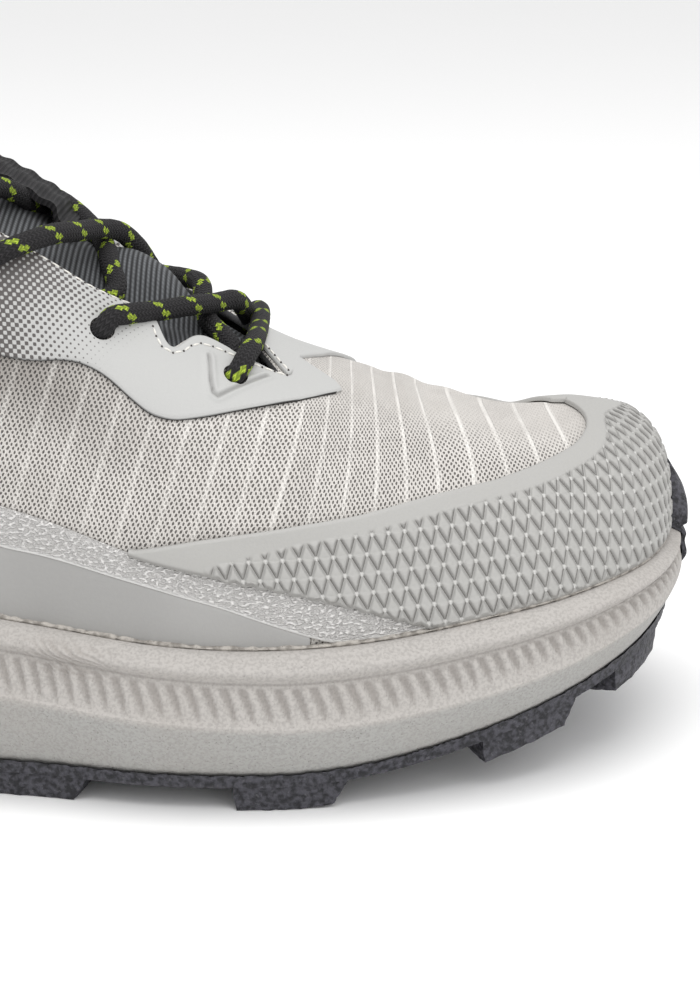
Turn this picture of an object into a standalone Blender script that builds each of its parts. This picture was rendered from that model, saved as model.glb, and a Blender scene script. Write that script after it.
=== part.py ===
"""Trail running shoe, right foot.

Lugged outsole, ribbed midsole, hollow upper with film overlays, tongue, insole and lace.
The toe points to +X, the outer (lateral) side faces -Y, +Z is up.
Sizes are in millimetres and are scaled to metres on build.
"""
import bmesh
import bpy
import numpy as np
from mathutils import Vector

MM = 0.001

# Driving sizes
LENGTH = 300.0
BALL_WIDTH = 90.0
INSTEP_HEIGHT = 120.0
UPPER_WALL = 1.8
COLLAR_PADDING = 6.0
OVERLAY_WALL = 1.1
TONGUE_WALL = 4.5
TONGUE_CROWN = 4.5
INSOLE_WALL = 3.5
LUG_DEPTH = 4.8
RUBBER_WALL = 1.9
LACE_DIAMETER = 4.4
SEAT_GAP = 0.3
OVERLAY_GAP = 0.5
RIB_COUNT = 204
RIBS_PER_COLUMN = 3
COLUMNS = RIB_COUNT // RIBS_PER_COLUMN
RIB_DEPTH = 0.7
RIB_SLANT = 0.12

# Sections of the upper from heel to toe.
# A foot point lies on the footbed's edge, a top point on collar, throat edge or closed ridge.
# x in percent of LENGTH, y and gap (half the opening) in percent of BALL_WIDTH,
# top_z in percent of INSTEP_HEIGHT, dome 0 for a straight wall and 1 for a full arch,
# bulge in millimetres.
SECTION_COLUMNS = ("lat_x", "lat_y", "med_x", "med_y", "top_x", "top_y", "gap", "top_z", "dome", "bulge")
SECTIONS = {
    "heel":    (4.0,    1.0,  4.0,  1.0,  3.0,  1.0,  0.0, 86.5, 0.00, 4.0),
    "counter": (7.0,  -24.5,  7.0, 25.5,  6.0,  1.0, 21.0, 85.0, 0.05, 4.5),
    "rear":    (15.7, -35.5, 15.7, 34.5, 16.0,  0.0, 30.0, 72.5, 0.15, 4.5),
    "ankle":   (26.0, -38.0, 26.0, 32.0, 26.0, -1.0, 31.0, 66.0, 0.25, 4.0),
    "shank":   (36.0, -38.0, 36.0, 31.0, 34.0, -1.0, 30.0, 81.0, 0.40, 3.0),
    "instep":  (46.0, -39.0, 46.0, 34.5, 42.7, -1.0, 25.5, 100.0, 0.62, 2.5),
    "waist":   (55.3, -43.0, 55.3, 41.0, 52.7, -1.0, 21.0, 92.5, 0.80, 2.0),
    "lacing":  (64.3, -49.5, 64.7, 48.0, 62.3,  0.0, 15.5, 76.7, 0.92, 2.0),
    "throat":  (73.3, -49.5, 73.7, 51.0, 71.7, -3.3,  0.0, 67.0, 1.00, 2.0),
    "ball":    (82.0, -43.0, 82.3, 49.0, 79.0,  4.5,  0.0, 60.2, 1.00, 2.0),
    "vamp":    (89.3, -33.5, 90.0, 42.0, 85.3,  9.0,  0.0, 54.8, 1.00, 2.5),
    "toe_box": (95.0, -16.0, 95.3, 30.0, 90.3, 11.0,  0.0, 54.2, 1.00, 3.0),
    "toe":     (97.2,   9.0, 97.2,  9.0, 93.0, 12.0,  0.0, 53.8, 1.00, 3.5),
}
LAST = len(SECTIONS) - 1
LOOP = 2 * LAST
THROAT = list(SECTIONS).index("throat")
INSTEP = list(SECTIONS).index("instep")
FULLNESS = 2.25

# Lines of the sole along the shoe: x in percent of LENGTH, heights in millimetres.
SOLE_COLUMNS = ("x", "floor", "bed", "rim")
SOLE_LINES = (
    (0, 10.0, 33.0, 50.0),
    (8, 1.5, 31.0, 46.0),
    (20, -0.6, 30.0, 43.5),
    (33, -0.3, 28.5, 41.0),
    (47, 0.4, 26.0, 38.0),
    (58, -0.5, 23.5, 34.3),
    (68, -0.5, 22.0, 32.0),
    (78, 1.8, 22.5, 32.8),
    (88, 9.0, 26.5, 36.3),
    (97, 19.0, 30.5, 39.3),
    (100, 24.0, 31.5, 39.5),
)

# Midsole side from the outsole up: share of the side's height at waist, ball and toe,
# and reach beyond the footbed's edge at heel, side and toe.
SIDE_STATIONS = (165.0, 215.0, 285.0)
REACH_STATIONS = (30.0, 60.0, 255.0, 290.0)
SIDE_COLUMNS = ("waist", "ball", "toe", "reach_heel", "reach_side", "reach_toe")
SIDE_STEPS = {
    "base":     (0.00, 0.00, 0.00, 4.0, 3.0, 2.3),
    "tuck":     (0.27, 0.24, 0.21, 7.0, 6.3, 4.4),
    "ledge":    (0.53, 0.45, 0.40, 9.0, 8.5, 5.7),
    "rib_low":  (0.58, 0.51, 0.46, 8.8, 8.2, 5.6),
    "rib_high": (0.77, 0.72, 0.71, 8.0, 6.9, 5.2),
    "groove":   (0.84, 0.79, 0.78, 7.2, 5.9, 4.6),
    "bead":     (0.92, 0.90, 0.89, 8.0, 6.8, 5.4),
    "lip":      (1.00, 1.00, 1.00, 5.0, 3.5, 3.2),
}

# Overlay edges as shares of the wall's height at places along the sections, counted from the heel.
TOE_CAP_TOP = {6.6: 0.20, 6.75: 0.225, 7.28: 0.284, 7.95: 0.364, 8.53: 0.443, 9.13: 0.535,
               9.64: 0.636, 10.17: 0.736, 10.62: 0.81, 11.17: 0.88, 11.6: 0.905, 12.0: 0.905}
BAND_TOP = {0.0: 0.80, 1.0: 0.78, 2.0: 0.70, 3.0: 0.58, 4.0: 0.44, 5.0: 0.30, 5.89: 0.237,
            6.73: 0.223, 7.37: 0.213, 7.8: 0.201, 8.22: 0.18, 8.57: 0.148, 8.9: 0.112}
BAND_LOW = {0.0: 0.66, 1.0: 0.64, 2.0: 0.56, 3.0: 0.45, 4.0: 0.33, 5.0: 0.225, 5.88: 0.177,
            6.39: 0.177, 6.92: 0.174, 7.39: 0.157, 7.93: 0.115, 8.2: 0.094, 8.9: 0.088}
EYESTAY_LOW = {4.55: 0.58, 5.0: 0.53, 6.0: 0.515, 6.25: 0.53, 6.45: 0.575, 6.65: 0.59,
               6.8: 0.575, 6.9: 0.54, 7.05: 0.53, 7.3: 0.565, 7.6: 0.624, 8.0: 0.70, 8.4: 0.815}
EYESTAY_TOP = {4.55: 1.0, 8.15: 1.0, 8.26: 0.95, 8.4: 0.86}

# Eyelets from the toe end up: place along the sections and share of the wall's height.
EYELETS = ((7.60, 0.735), (6.73, 0.72), (5.86, 0.74), (5.12, 0.76))
EYELET_RADIUS = 2.4

# Edge lugs from heel to toe: middle and length, as places along the sections, on both sides.
EDGE_LUGS = ((0.85, 0.80), (2.60, 0.80), (4.35, 0.80), (6.08, 0.75), (7.86, 0.83), (9.70, 0.90), (10.95, 0.80))


def smooth(knots, values, at):
    """Cubic curve through the knots with central-difference slopes."""
    knots = np.asarray(knots, float)
    values = np.asarray(values, float)
    slopes = np.gradient(values, knots)
    at = np.asarray(at, float)
    i = np.clip(np.searchsorted(knots, at, side="right") - 1, 0, len(knots) - 2)
    step = knots[i + 1] - knots[i]
    t = (at - knots[i]) / step
    return ((1 + 2 * t) * (1 - t) ** 2 * values[i] + t * (1 - t) ** 2 * step * slopes[i]
            + t * t * (3 - 2 * t) * values[i + 1] + t * t * (t - 1) * step * slopes[i + 1])


def section_column(name):
    """One column of SECTIONS in millimetres, or as it stands for dome and bulge."""
    across = BALL_WIDTH / 100
    units = {"x": LENGTH / 100, "y": across, "gap": across, "z": INSTEP_HEIGHT / 100}
    scale = units.get(name.split("_")[-1], 1.0)
    column = SECTION_COLUMNS.index(name)
    return np.array([row[column] * scale for row in SECTIONS.values()])


def ring(lateral, medial, q):
    """Value at place q of the loop heel, lateral side, toe, medial side, heel."""
    loop = np.concatenate([lateral, medial[-2:0:-1]])
    wrapped = np.concatenate([loop[-3:], loop, loop[:3]])
    return smooth(np.arange(-3, LOOP + 3), wrapped, np.mod(q, LOOP))


def ring_column(name, q):
    values = section_column(name)
    return ring(values, values, q)


def section_place(q):
    """Place along the sections, 0 at the heel and LAST at the toe, on either side."""
    q = np.mod(q, LOOP)
    return np.where(q > LAST, LOOP - q, q)


def sole_line(name, x):
    column = SOLE_COLUMNS.index(name)
    stations = [row[0] * LENGTH / 100 for row in SOLE_LINES]
    return smooth(stations, [row[column] for row in SOLE_LINES], x)


def floor_height(x):
    """Underside of the lugs: flat under heel and forefoot, rising to heel bevel and toe spring."""
    return np.maximum(0.0, sole_line("floor", x))


def foot(q):
    """Edge of the footbed in plan."""
    x = ring(section_column("lat_x"), section_column("med_x"), q)
    y = ring(section_column("lat_y"), section_column("med_y"), q)
    return x, y


def foot_normal(q):
    """Outward direction in plan at the footbed's edge."""
    step = 0.01
    x0, y0 = foot(q - step)
    x1, y1 = foot(q + step)
    length = np.hypot(x1 - x0, y1 - y0)
    return (y1 - y0) / length, (x0 - x1) / length


def top_edge(q):
    """Collar, throat edge, or the closed ridge ahead of the throat."""
    place = section_place(q)
    gap = section_column("gap")
    half = smooth(np.arange(-3, LAST + 1), np.concatenate([-gap[3:0:-1], gap]), place)
    half = np.where(place >= THROAT, 0.0, np.maximum(half, 0.0))
    side = np.where(np.mod(q, LOOP) > LAST, 1.0, -1.0)
    return ring_column("top_x", q), ring_column("top_y", q) + side * half, ring_column("top_z", q)


def upper_surface(q, v, offset=0.0):
    """Outer face of the upper at loop place q, a share v of the way up, moved out by offset."""
    q, v = np.broadcast_arrays(np.asarray(q, float), np.asarray(v, float))
    foot_x, foot_y = foot(q)
    foot_z = sole_line("bed", foot_x)
    top_x, top_y, top_z = top_edge(q)
    dome = ring_column("dome", q)
    turn = np.clip(v, 0, 1) * np.pi / 2
    inward = dome * (1 - np.cos(turn) ** (2 / FULLNESS)) + (1 - dome) * v
    rise = dome * np.sin(turn) ** (2 / FULLNESS) + (1 - dome) * v
    normal_x, normal_y = foot_normal(q)
    swell = ring_column("bulge", q) * np.sin(np.pi * np.clip(v, 0, 1))
    points = np.stack([foot_x + (top_x - foot_x) * inward + normal_x * swell,
                       foot_y + (top_y - foot_y) * inward + normal_y * swell,
                       foot_z + (top_z - foot_z) * rise], -1)
    if np.any(offset):
        points = points + upper_normal(q, v) * np.broadcast_to(offset, q.shape)[..., None]
    return points


def upper_normal(q, v):
    step = 0.02
    along = upper_surface(q + step, v) - upper_surface(q - step, v)
    up = upper_surface(q, np.minimum(v + step, 1)) - upper_surface(q, np.maximum(v - step, 0))
    normal = np.cross(up, along)
    normal /= np.linalg.norm(normal, axis=-1, keepdims=True)
    plan_x, plan_y = foot_normal(q)
    outward = np.sign(normal[..., 0] * plan_x + normal[..., 1] * plan_y + normal[..., 2])
    return normal * outward[..., None]


def share_at_height(q, height, offset=0.0):
    """Share v at which the upper reaches a height near the sole."""
    low = np.zeros_like(q)
    high = np.full_like(q, 0.5)
    for _ in range(30):
        middle = (low + high) / 2
        below = upper_surface(q, middle, offset)[..., 2] < height
        low = np.where(below, middle, low)
        high = np.where(below, high, middle)
    return (low + high) / 2


def rim_height(q):
    return sole_line("rim", foot(q)[0])


def side_point(q, step, extra=0.0):
    """Point on the midsole's side at one of SIDE_STEPS, pushed out by extra."""
    row = dict(zip(SIDE_COLUMNS, SIDE_STEPS[step]))
    foot_x, foot_y = foot(q)
    normal_x, normal_y = foot_normal(q)
    reaches = (row["reach_heel"], row["reach_side"], row["reach_side"], row["reach_toe"])
    reach = np.interp(foot_x, REACH_STATIONS, reaches) + extra
    share = np.interp(foot_x, SIDE_STATIONS, (row["waist"], row["ball"], row["toe"]))
    x = foot_x + normal_x * reach
    y = foot_y + normal_y * reach
    base = floor_height(x) + LUG_DEPTH + RUBBER_WALL + SEAT_GAP
    return np.stack([x, y, base + (rim_height(q) - base) * share], -1)


def centre_line(q):
    """Middle of the sole between the two sides, kept clear of the heel's and toe's ends."""
    place = section_place(q)
    x0, y0 = foot(place)
    x1, y1 = foot(LOOP - place)
    x = np.clip((x0 + x1) / 2, 0.12 * LENGTH, 0.88 * LENGTH)
    return x, np.interp(x, (0.12 * LENGTH, 0.88 * LENGTH), (0.0, 0.04 * BALL_WIDTH))


def half_way(q):
    """Half way from the middle of the sole to the edge of its underside."""
    edge = side_point(q, "base")
    x, y = centre_line(q)
    return (x + edge[..., 0]) / 2, (y + edge[..., 1]) / 2


def edge_share(table, place):
    """Overlay edge at a place: straight runs between table entries, rounded by a short average."""
    reach = 0.12
    steps = np.linspace(-reach, reach, 7)
    return np.mean([np.interp(place + d, list(table), list(table.values())) for d in steps], axis=0)


def make_material(name, colour, roughness):
    material = bpy.data.materials.new(name)
    material.use_nodes = True
    shader = material.node_tree.nodes["Principled BSDF"]
    shader.inputs["Base Color"].default_value = (*colour, 1.0)
    shader.inputs["Roughness"].default_value = roughness
    shader.inputs["Metallic"].default_value = 0.0
    return material


def add_object(name, mesh, material, collection):
    shoe_part = bpy.data.objects.new(name, mesh)
    if material:
        mesh.materials.append(material)
    collection.objects.link(shoe_part)
    return shoe_part


def placed_grid(name, columns, rows, place, material, collection):
    """A grid laid by place(u, w), with u and w from 0 to 1, whose meeting edges are merged."""
    shaped = bmesh.new()
    bmesh.ops.create_grid(shaped, x_segments=columns, y_segments=rows, size=0.5)
    flat = np.array([vert.co for vert in shaped.verts]) + 0.5
    for vert, point in zip(shaped.verts, place(flat[:, 0], flat[:, 1])):
        vert.co = Vector(point) * MM
    bmesh.ops.remove_doubles(shaped, verts=shaped.verts, dist=0.02 * MM)
    bmesh.ops.dissolve_degenerate(shaped, edges=shaped.edges, dist=0.001 * MM)
    bmesh.ops.triangulate(shaped, faces=shaped.faces)
    bmesh.ops.recalc_face_normals(shaped, faces=shaped.faces)
    mesh = bpy.data.meshes.new(name)
    shaped.to_mesh(mesh)
    shaped.free()
    mesh.shade_smooth()
    mesh.set_sharp_from_angle(angle=np.radians(40))
    return add_object(name, mesh, material, collection)


def face_outward(shoe_part, probe):
    """Turns an open sheet's faces so that the one nearest probe looks away from the shoe's middle."""
    mesh = shoe_part.data
    middle = Vector((LENGTH / 2, 0, 0.35 * INSTEP_HEIGHT)) * MM
    nearest = min(mesh.polygons, key=lambda face: (face.center - Vector(probe) * MM).length)
    if nearest.normal.dot(nearest.center - middle) < 0:
        mesh.flip_normals()


def add_wall(shoe_part, thickness, outward):
    wall = shoe_part.modifiers.new("wall", "SOLIDIFY")
    wall.thickness = thickness * MM
    wall.offset = 1.0 if outward else -1.0
    wall.use_even_offset = True
    return wall


def make_upper(material, collection):
    """Hollow upper: open underneath, at the throat and at the collar, padded round the collar."""
    rows = 8

    def place(u, w):
        q = u * LOOP
        return upper_surface(q, w) + np.outer(1 - w, (0.0, 0.0, SEAT_GAP))

    upper = placed_grid("upper", COLUMNS, rows, place, material, collection)
    face_outward(upper, (0.7 * LENGTH, -0.5 * BALL_WIDTH, 45.0))
    wall = add_wall(upper, COLLAR_PADDING, outward=False)
    padding = upper.vertex_groups.new(name="padding")
    thin = UPPER_WALL / COLLAR_PADDING
    for vert in upper.data.vertices:
        back = np.interp(vert.co.x / MM, (0.30 * LENGTH, 0.42 * LENGTH), (1.0, 0.0))
        high = np.interp(vert.co.z / MM, (58.0, 76.0, 96.0, 110.0), (0.0, 1.0, 1.0, 0.55))
        padding.add([vert.index], thin + (1 - thin) * back * high, "REPLACE")
    wall.vertex_group = padding.name
    return upper


def make_overlay(name, start, end, columns, rows, low, high, material, collection):
    """Overlay on the upper between two edge functions of the loop place."""
    def place(u, w):
        q = start + u * (end - start)
        share = low(q) + (high(q) - low(q)) * w
        return upper_surface(q, share, OVERLAY_GAP)

    overlay = placed_grid(name, columns, rows, place, material, collection)
    face_outward(overlay, overlay.data.polygons[len(overlay.data.polygons) // 2].center / MM)
    add_wall(overlay, OVERLAY_WALL, outward=True)
    return overlay


def above_rim(q):
    """Lowest share that an overlay may start from, just above the midsole's lip."""
    return share_at_height(q, rim_height(q) + 0.5)


def make_overlays(film, collection):
    trim_gap = 0.012
    band_end = max(BAND_TOP)
    cap_start = min(TOE_CAP_TOP)

    def band_top(q):
        return np.maximum(edge_share(BAND_TOP, section_place(q)), above_rim(q) + trim_gap)

    def band_low(q):
        return np.maximum(edge_share(BAND_LOW, section_place(q)), above_rim(q))

    def rand_top(q):
        return np.maximum(band_low(q) - trim_gap, above_rim(q) + trim_gap)

    def cap_low(q):
        place = section_place(q)
        behind = edge_share(BAND_TOP, np.minimum(place, band_end)) + trim_gap
        return np.where(place < band_end, np.maximum(behind, above_rim(q)), above_rim(q))

    def cap_top(q):
        return np.maximum(edge_share(TOE_CAP_TOP, section_place(q)), cap_low(q) + trim_gap)

    make_overlay("toe_cap", cap_start, LOOP - cap_start, 46, 5, cap_low, cap_top, film, collection)
    band_tip = band_end - 0.05
    make_overlay("side_band", -band_tip, band_tip, 64, 1, band_low, band_top, film, collection)
    rand_end = 8.0
    make_overlay("heel_rand", -rand_end, rand_end, 44, 3, above_rim, rand_top, film, collection)


def make_eyestay(film, collection):
    """U-shaped overlay round the throat: two legs that meet on the ridge ahead of it."""
    rows = 5
    back, front = min(EYESTAY_LOW), max(EYESTAY_LOW)
    stations = np.concatenate([np.linspace(back, THROAT, 15), (THROAT + 0.12,), (THROAT + 0.26, front)])

    def leg(side):
        def place(u, w):
            r = np.interp(u, np.linspace(0, 1, len(stations)), stations)
            low = edge_share(EYESTAY_LOW, r)
            high = np.interp(r, list(EYESTAY_TOP), list(EYESTAY_TOP.values()))
            return upper_surface(r if side < 0 else LOOP - r, low + (high - low) * w, OVERLAY_GAP)
        return place

    eyestay = placed_grid("eyestay", len(stations) - 1, rows, leg(-1), film, collection)
    other = placed_grid("eyestay_medial", len(stations) - 1, rows, leg(1), None, collection)
    joined = bmesh.new()
    joined.from_mesh(eyestay.data)
    joined.from_mesh(other.data)
    bmesh.ops.remove_doubles(joined, verts=joined.verts, dist=0.3 * MM)
    bmesh.ops.recalc_face_normals(joined, faces=joined.faces)
    joined.to_mesh(eyestay.data)
    joined.free()
    bpy.data.meshes.remove(other.data)
    face_outward(eyestay, upper_surface(6.5, 0.8))
    add_wall(eyestay, OVERLAY_WALL, outward=True)
    return eyestay


def punch_eyelets(shoe_parts, cutters):
    """Round lace holes through upper and eyestay."""
    punches = bmesh.new()
    for place, share in EYELETS:
        for q in (place, LOOP - place):
            at = upper_surface(q, share)
            axis = Vector(upper_normal(np.array(q), np.array(share)))
            turn = axis.to_track_quat("Z", "X").to_matrix().to_4x4()
            turn.translation = Vector(at) * MM
            bmesh.ops.create_cone(punches, cap_ends=True, segments=10, radius1=EYELET_RADIUS * MM,
                                  radius2=EYELET_RADIUS * MM, depth=8 * MM, matrix=turn)
    mesh = bpy.data.meshes.new("eyelet_punches")
    punches.to_mesh(mesh)
    punches.free()
    cutter = add_object("eyelet_punches", mesh, None, cutters)
    for shoe_part in shoe_parts:
        cut = shoe_part.modifiers.new("eyelets", "BOOLEAN")
        cut.operation = "DIFFERENCE"
        cut.object = cutter


def make_midsole(material, collection):
    """Foam cup: ribbed side with a ledge and a bead, a lip round the upper, and the footbed inside."""
    columns = 2 * RIB_COUNT
    coarse = 2 * RIBS_PER_COLUMN
    steps = list(SIDE_STEPS)
    inner_shares = (1.0, 0.5, 0.0)
    row_names = ["under", "under_half"] + steps + ["cup_top", "cup_middle", "cup_foot", "bed"]

    def row_points(row, q, column):
        name = row_names[row]
        if name in ("under", "under_half"):
            x, y = centre_line(q) if name == "under" else half_way(q)
            base = floor_height(x) + LUG_DEPTH + RUBBER_WALL + SEAT_GAP
            return np.stack([x, y, base], -1)
        if name == "bed":
            x, y = centre_line(q)
            return np.stack([x, y, sole_line("bed", x)], -1)
        if name in ("rib_low", "rib_high"):
            slant = RIB_SLANT / 2 if name == "rib_low" else -RIB_SLANT / 2
            turned = np.mod(q, LAST)
            slant = slant * np.clip(np.minimum(turned, LAST - turned) / 0.8, 0, 1)
            slant = np.where(np.mod(q, LOOP) > LAST, -slant, slant)
            ridge = np.where(column % 2 == 0, 0.0, -RIB_DEPTH)
            return side_point(q + slant, name, ridge)
        if name in SIDE_STEPS:
            return side_point(q, name)
        share = dict(zip(row_names[-4:-1], inner_shares))[name]
        points = upper_surface(q, share * share_at_height(q, rim_height(q), SEAT_GAP), SEAT_GAP)
        if name == "cup_top":
            points[:, 2] = rim_height(q)
        return points

    def place(u, w):
        row = np.rint(w * (len(row_names) - 1)).astype(int)
        column = np.rint(u * columns).astype(int)
        points = np.zeros((len(u), 3))
        for index in range(len(row_names)):
            mine = row == index
            points[mine] = row_points(index, u[mine] * LOOP, column[mine] % columns)
        return points

    midsole = bmesh.new()
    bmesh.ops.create_grid(midsole, x_segments=columns, y_segments=len(row_names) - 1, size=0.5)
    flat = np.array([vert.co for vert in midsole.verts]) + 0.5
    row_of = np.rint(flat[:, 1] * (len(row_names) - 1)).astype(int)
    column_of = np.rint(flat[:, 0] * columns).astype(int)
    rib_rows = {row_names.index("rib_low"), row_names.index("rib_high")}
    midsole.verts.ensure_lookup_table()
    between = [edge for edge in midsole.edges
               if column_of[edge.verts[0].index] == column_of[edge.verts[1].index]
               and column_of[edge.verts[0].index] % coarse
               and {row_of[vert.index] for vert in edge.verts} != rib_rows]
    for vert, point in zip(midsole.verts, place(flat[:, 0], flat[:, 1])):
        vert.co = Vector(point) * MM
    bmesh.ops.dissolve_edges(midsole, edges=between, use_verts=True)
    bmesh.ops.remove_doubles(midsole, verts=midsole.verts, dist=0.02 * MM)
    bmesh.ops.dissolve_degenerate(midsole, edges=midsole.edges, dist=0.001 * MM)
    bmesh.ops.triangulate(midsole, faces=midsole.faces)
    bmesh.ops.recalc_face_normals(midsole, faces=midsole.faces)
    mesh = bpy.data.meshes.new("midsole")
    midsole.to_mesh(mesh)
    midsole.free()
    mesh.shade_smooth()
    mesh.set_sharp_from_angle(angle=np.radians(40))
    return add_object("midsole", mesh, material, collection)


def make_insole(material, collection):
    """Flat insole inside the upper, on the footbed."""
    inset = UPPER_WALL + 0.7

    def place(u, w):
        q = u * LOOP
        foot_x, foot_y = foot(q)
        normal_x, normal_y = foot_normal(q)
        middle_x, middle_y = centre_line(q)
        edge_x, edge_y = foot_x - normal_x * inset, foot_y - normal_y * inset
        x = np.where(np.abs(w - 0.5) > 0.4, middle_x, edge_x)
        y = np.where(np.abs(w - 0.5) > 0.4, middle_y, edge_y)
        z = sole_line("bed", x) + SEAT_GAP + np.where(w > 0.5, INSOLE_WALL, 0.0)
        return np.stack([x, y, z], -1)

    return placed_grid("insole", COLUMNS, 3, place, material, collection)


def lug_cube(lugs, corner):
    """One lug from a cube whose corners (along, in, down) are laid by corner()."""
    made = bmesh.ops.create_cube(lugs, size=2.0)
    for vert in made["verts"]:
        vert.co = Vector(corner(*vert.co)) * MM


def make_lugs(cutters):
    """Edge lugs all round, and pairs of slanted lugs down the middle of the tread."""
    lugs = bmesh.new()
    embed = 1.0
    bottom_taper = 0.82
    edge_inset = 0.6
    edge_depth = 13.0
    front_slope = 0.12

    def height(x, down):
        return floor_height(x) + np.where(down < 0, 0.0, LUG_DEPTH + embed)

    places = [(middle, length, 1) for middle, length in EDGE_LUGS]
    places += [(LOOP - middle, length, -1) for middle, length in EDGE_LUGS]
    for middle, length, forward in places:

        def edge_corner(along, inward, down):
            taper = bottom_taper if down < 0 else 1.0
            slope = front_slope if down < 0 else 0.0
            q = np.array(middle + length / 2 * (along * taper - forward * slope))
            root = side_point(q, "base")
            normal_x, normal_y = foot_normal(q)
            inset = edge_inset if inward < 0 else edge_depth * taper
            x = root[0] - normal_x * inset
            y = root[1] - normal_y * inset
            return x, y, height(x, down)

        lug_cube(lugs, edge_corner)

    middle_pitch = 19.0
    middle_size = (9.0, 9.0)
    lean = 4.0
    for x_middle in np.arange(0.16 * LENGTH, 0.90 * LENGTH, middle_pitch):
        y_middle = np.interp(x_middle, (0.1 * LENGTH, 0.9 * LENGTH), (0.0, 4.0))
        spread = 0.1 * BALL_WIDTH
        for side in (-1, 1):

            def middle_corner(along, across, down):
                taper = bottom_taper if down < 0 else 1.0
                x = x_middle + along * middle_size[0] / 2 * taper - across * side * lean / 2
                y = y_middle + side * spread + across * middle_size[1] / 2 * taper
                return x, y, height(x, down)

            lug_cube(lugs, middle_corner)
    bmesh.ops.recalc_face_normals(lugs, faces=lugs.faces)
    mesh = bpy.data.meshes.new("lugs")
    lugs.to_mesh(mesh)
    lugs.free()
    return add_object("lugs", mesh, None, cutters)


def make_toe_guard(cutters):
    """Rubber tab that wraps up over the front of the midsole and the toe, as a closed sheet."""
    middle = LAST + 0.6
    half_width = 0.70
    tab_height = 13.0
    root_inset = 1.4
    thin, thick, tip = 0.9, 2.3, 1.2
    guard_steps = ("base", "tuck", "ledge", "rib_high", "bead")
    tab_shares = (0.2, 0.6, 1.0)
    tab_walls = (thick, thick, tip)
    over_cap = OVERLAY_GAP + OVERLAY_WALL + SEAT_GAP
    levels = 1 + len(guard_steps) + len(tab_shares)
    rows = 2 * levels + 1

    def layer(q, level, outer):
        if level == 0:
            points = side_point(q, "base", SEAT_GAP - root_inset + outer * (thin + root_inset / 2))
            points[:, 2] -= SEAT_GAP + RUBBER_WALL / 2
            return points
        if level <= len(guard_steps):
            return side_point(q, guard_steps[level - 1], SEAT_GAP + outer * thin)
        index = level - len(guard_steps) - 1
        across = (q - middle) / half_width
        crown = tab_height * np.sqrt(np.maximum(1 - 0.95 * across ** 2, 0.0))
        share = share_at_height(q, rim_height(q) + tab_shares[index] * crown)
        return upper_surface(q, share, over_cap + outer * tab_walls[index])

    def place(u, w):
        q = middle + (u - 0.5) * 2 * half_width
        row = np.rint(w * (rows - 1)).astype(int)
        points = np.zeros((len(u), 3))
        for index in range(rows):
            mine = row == index
            around = index % (rows - 1)
            inner = around < levels
            level = around if inner else rows - 2 - around
            points[mine] = layer(q[mine], level, 0.0 if inner else 1.0)
        return points

    guard = placed_grid("toe_guard_form", 12, rows - 1, place, None, cutters)
    closed = bmesh.new()
    closed.from_mesh(guard.data)
    bmesh.ops.holes_fill(closed, edges=closed.edges, sides=0)
    bmesh.ops.triangulate(closed, faces=[face for face in closed.faces if len(face.verts) > 4])
    bmesh.ops.recalc_face_normals(closed, faces=closed.faces)
    closed.to_mesh(guard.data)
    closed.free()
    return guard


def make_outsole(material, collection, cutters):
    """Rubber sheet under the midsole with its lugs and toe guard."""
    def place(u, w):
        q = u * LOOP
        row = np.rint(w * 5).astype(int)
        edge = side_point(q, "base")
        across = np.minimum(row, 5 - row)
        x, y = np.where(across == 0, centre_line(q), half_way(q))
        x = np.where(across == 2, edge[:, 0], x)
        y = np.where(across == 2, edge[:, 1], y)
        z = floor_height(x) + LUG_DEPTH + np.where(row >= 3, RUBBER_WALL, 0.0)
        return np.stack([x, y, z], -1)

    outsole = placed_grid("outsole", COLUMNS, 5, place, material, collection)
    for form in (make_lugs(cutters), make_toe_guard(cutters)):
        join = outsole.modifiers.new(form.name, "BOOLEAN")
        join.operation = "UNION"
        join.object = form
    return outsole


def tongue_surface(along, across):
    """Outer face of the tongue: along from under the vamp (0) to its free top (1), across -1 to 1."""
    tuck_share = 0.80
    clear = UPPER_WALL + 1.2
    free_top = 30.0
    free_start = 0.76
    narrowing = 4.5
    r = np.interp(along, (0.0, free_start), (THROAT + 0.5, INSTEP))
    beyond = np.interp(along, (free_start, 1.0), (0.0, free_top)) * (1 - 0.22 * across ** 4)
    covered = np.interp(r, (INSTEP + 0.05, INSTEP + 0.7), (0.0, 1.0))
    tuck = 1 - (1 - tuck_share) * covered
    lat_edge, med_edge = (upper_surface(q, 1.0, -clear) for q in (r, LOOP - r))
    lat_tuck, med_tuck = (upper_surface(q, tuck, -clear) for q in (r, LOOP - r))
    half_gap = np.linalg.norm(med_edge - lat_edge, axis=-1) / 2
    lat_cover = np.linalg.norm(lat_tuck - lat_edge, axis=-1)
    med_cover = np.linalg.norm(med_tuck - med_edge, axis=-1)
    cover = (lat_cover + med_cover) / 2
    half_gap = half_gap - narrowing * (1 - covered)
    reach = across * (half_gap + cover)
    inside = np.clip(reach / np.maximum(half_gap, 0.01), -1, 1)
    under = np.maximum(np.abs(reach) - half_gap, 0) / np.maximum(cover, 0.01)
    share = 1 - (1 - tuck) * np.minimum(under, 1)
    q = np.where(across < 0, r, LOOP - r)
    beside = upper_surface(q, share, -clear)
    middle = (lat_edge + med_edge) / 2
    opening = med_edge - lat_edge
    toward = opening / np.maximum(np.linalg.norm(opening, axis=-1, keepdims=True), 0.01)
    open_share = np.clip((THROAT - 0.1 - r) / 0.55, 0, 1)
    between = middle + toward * (inside * half_gap)[:, None]
    between[:, 2] += (TONGUE_CROWN + clear) * open_share * (1 - inside ** 2) ** 1.3
    surface = np.where((np.abs(reach) > half_gap)[:, None], beside, between)
    return surface + np.stack([-0.80 * beyond, 0.0 * beyond, 0.62 * beyond], -1)


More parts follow.
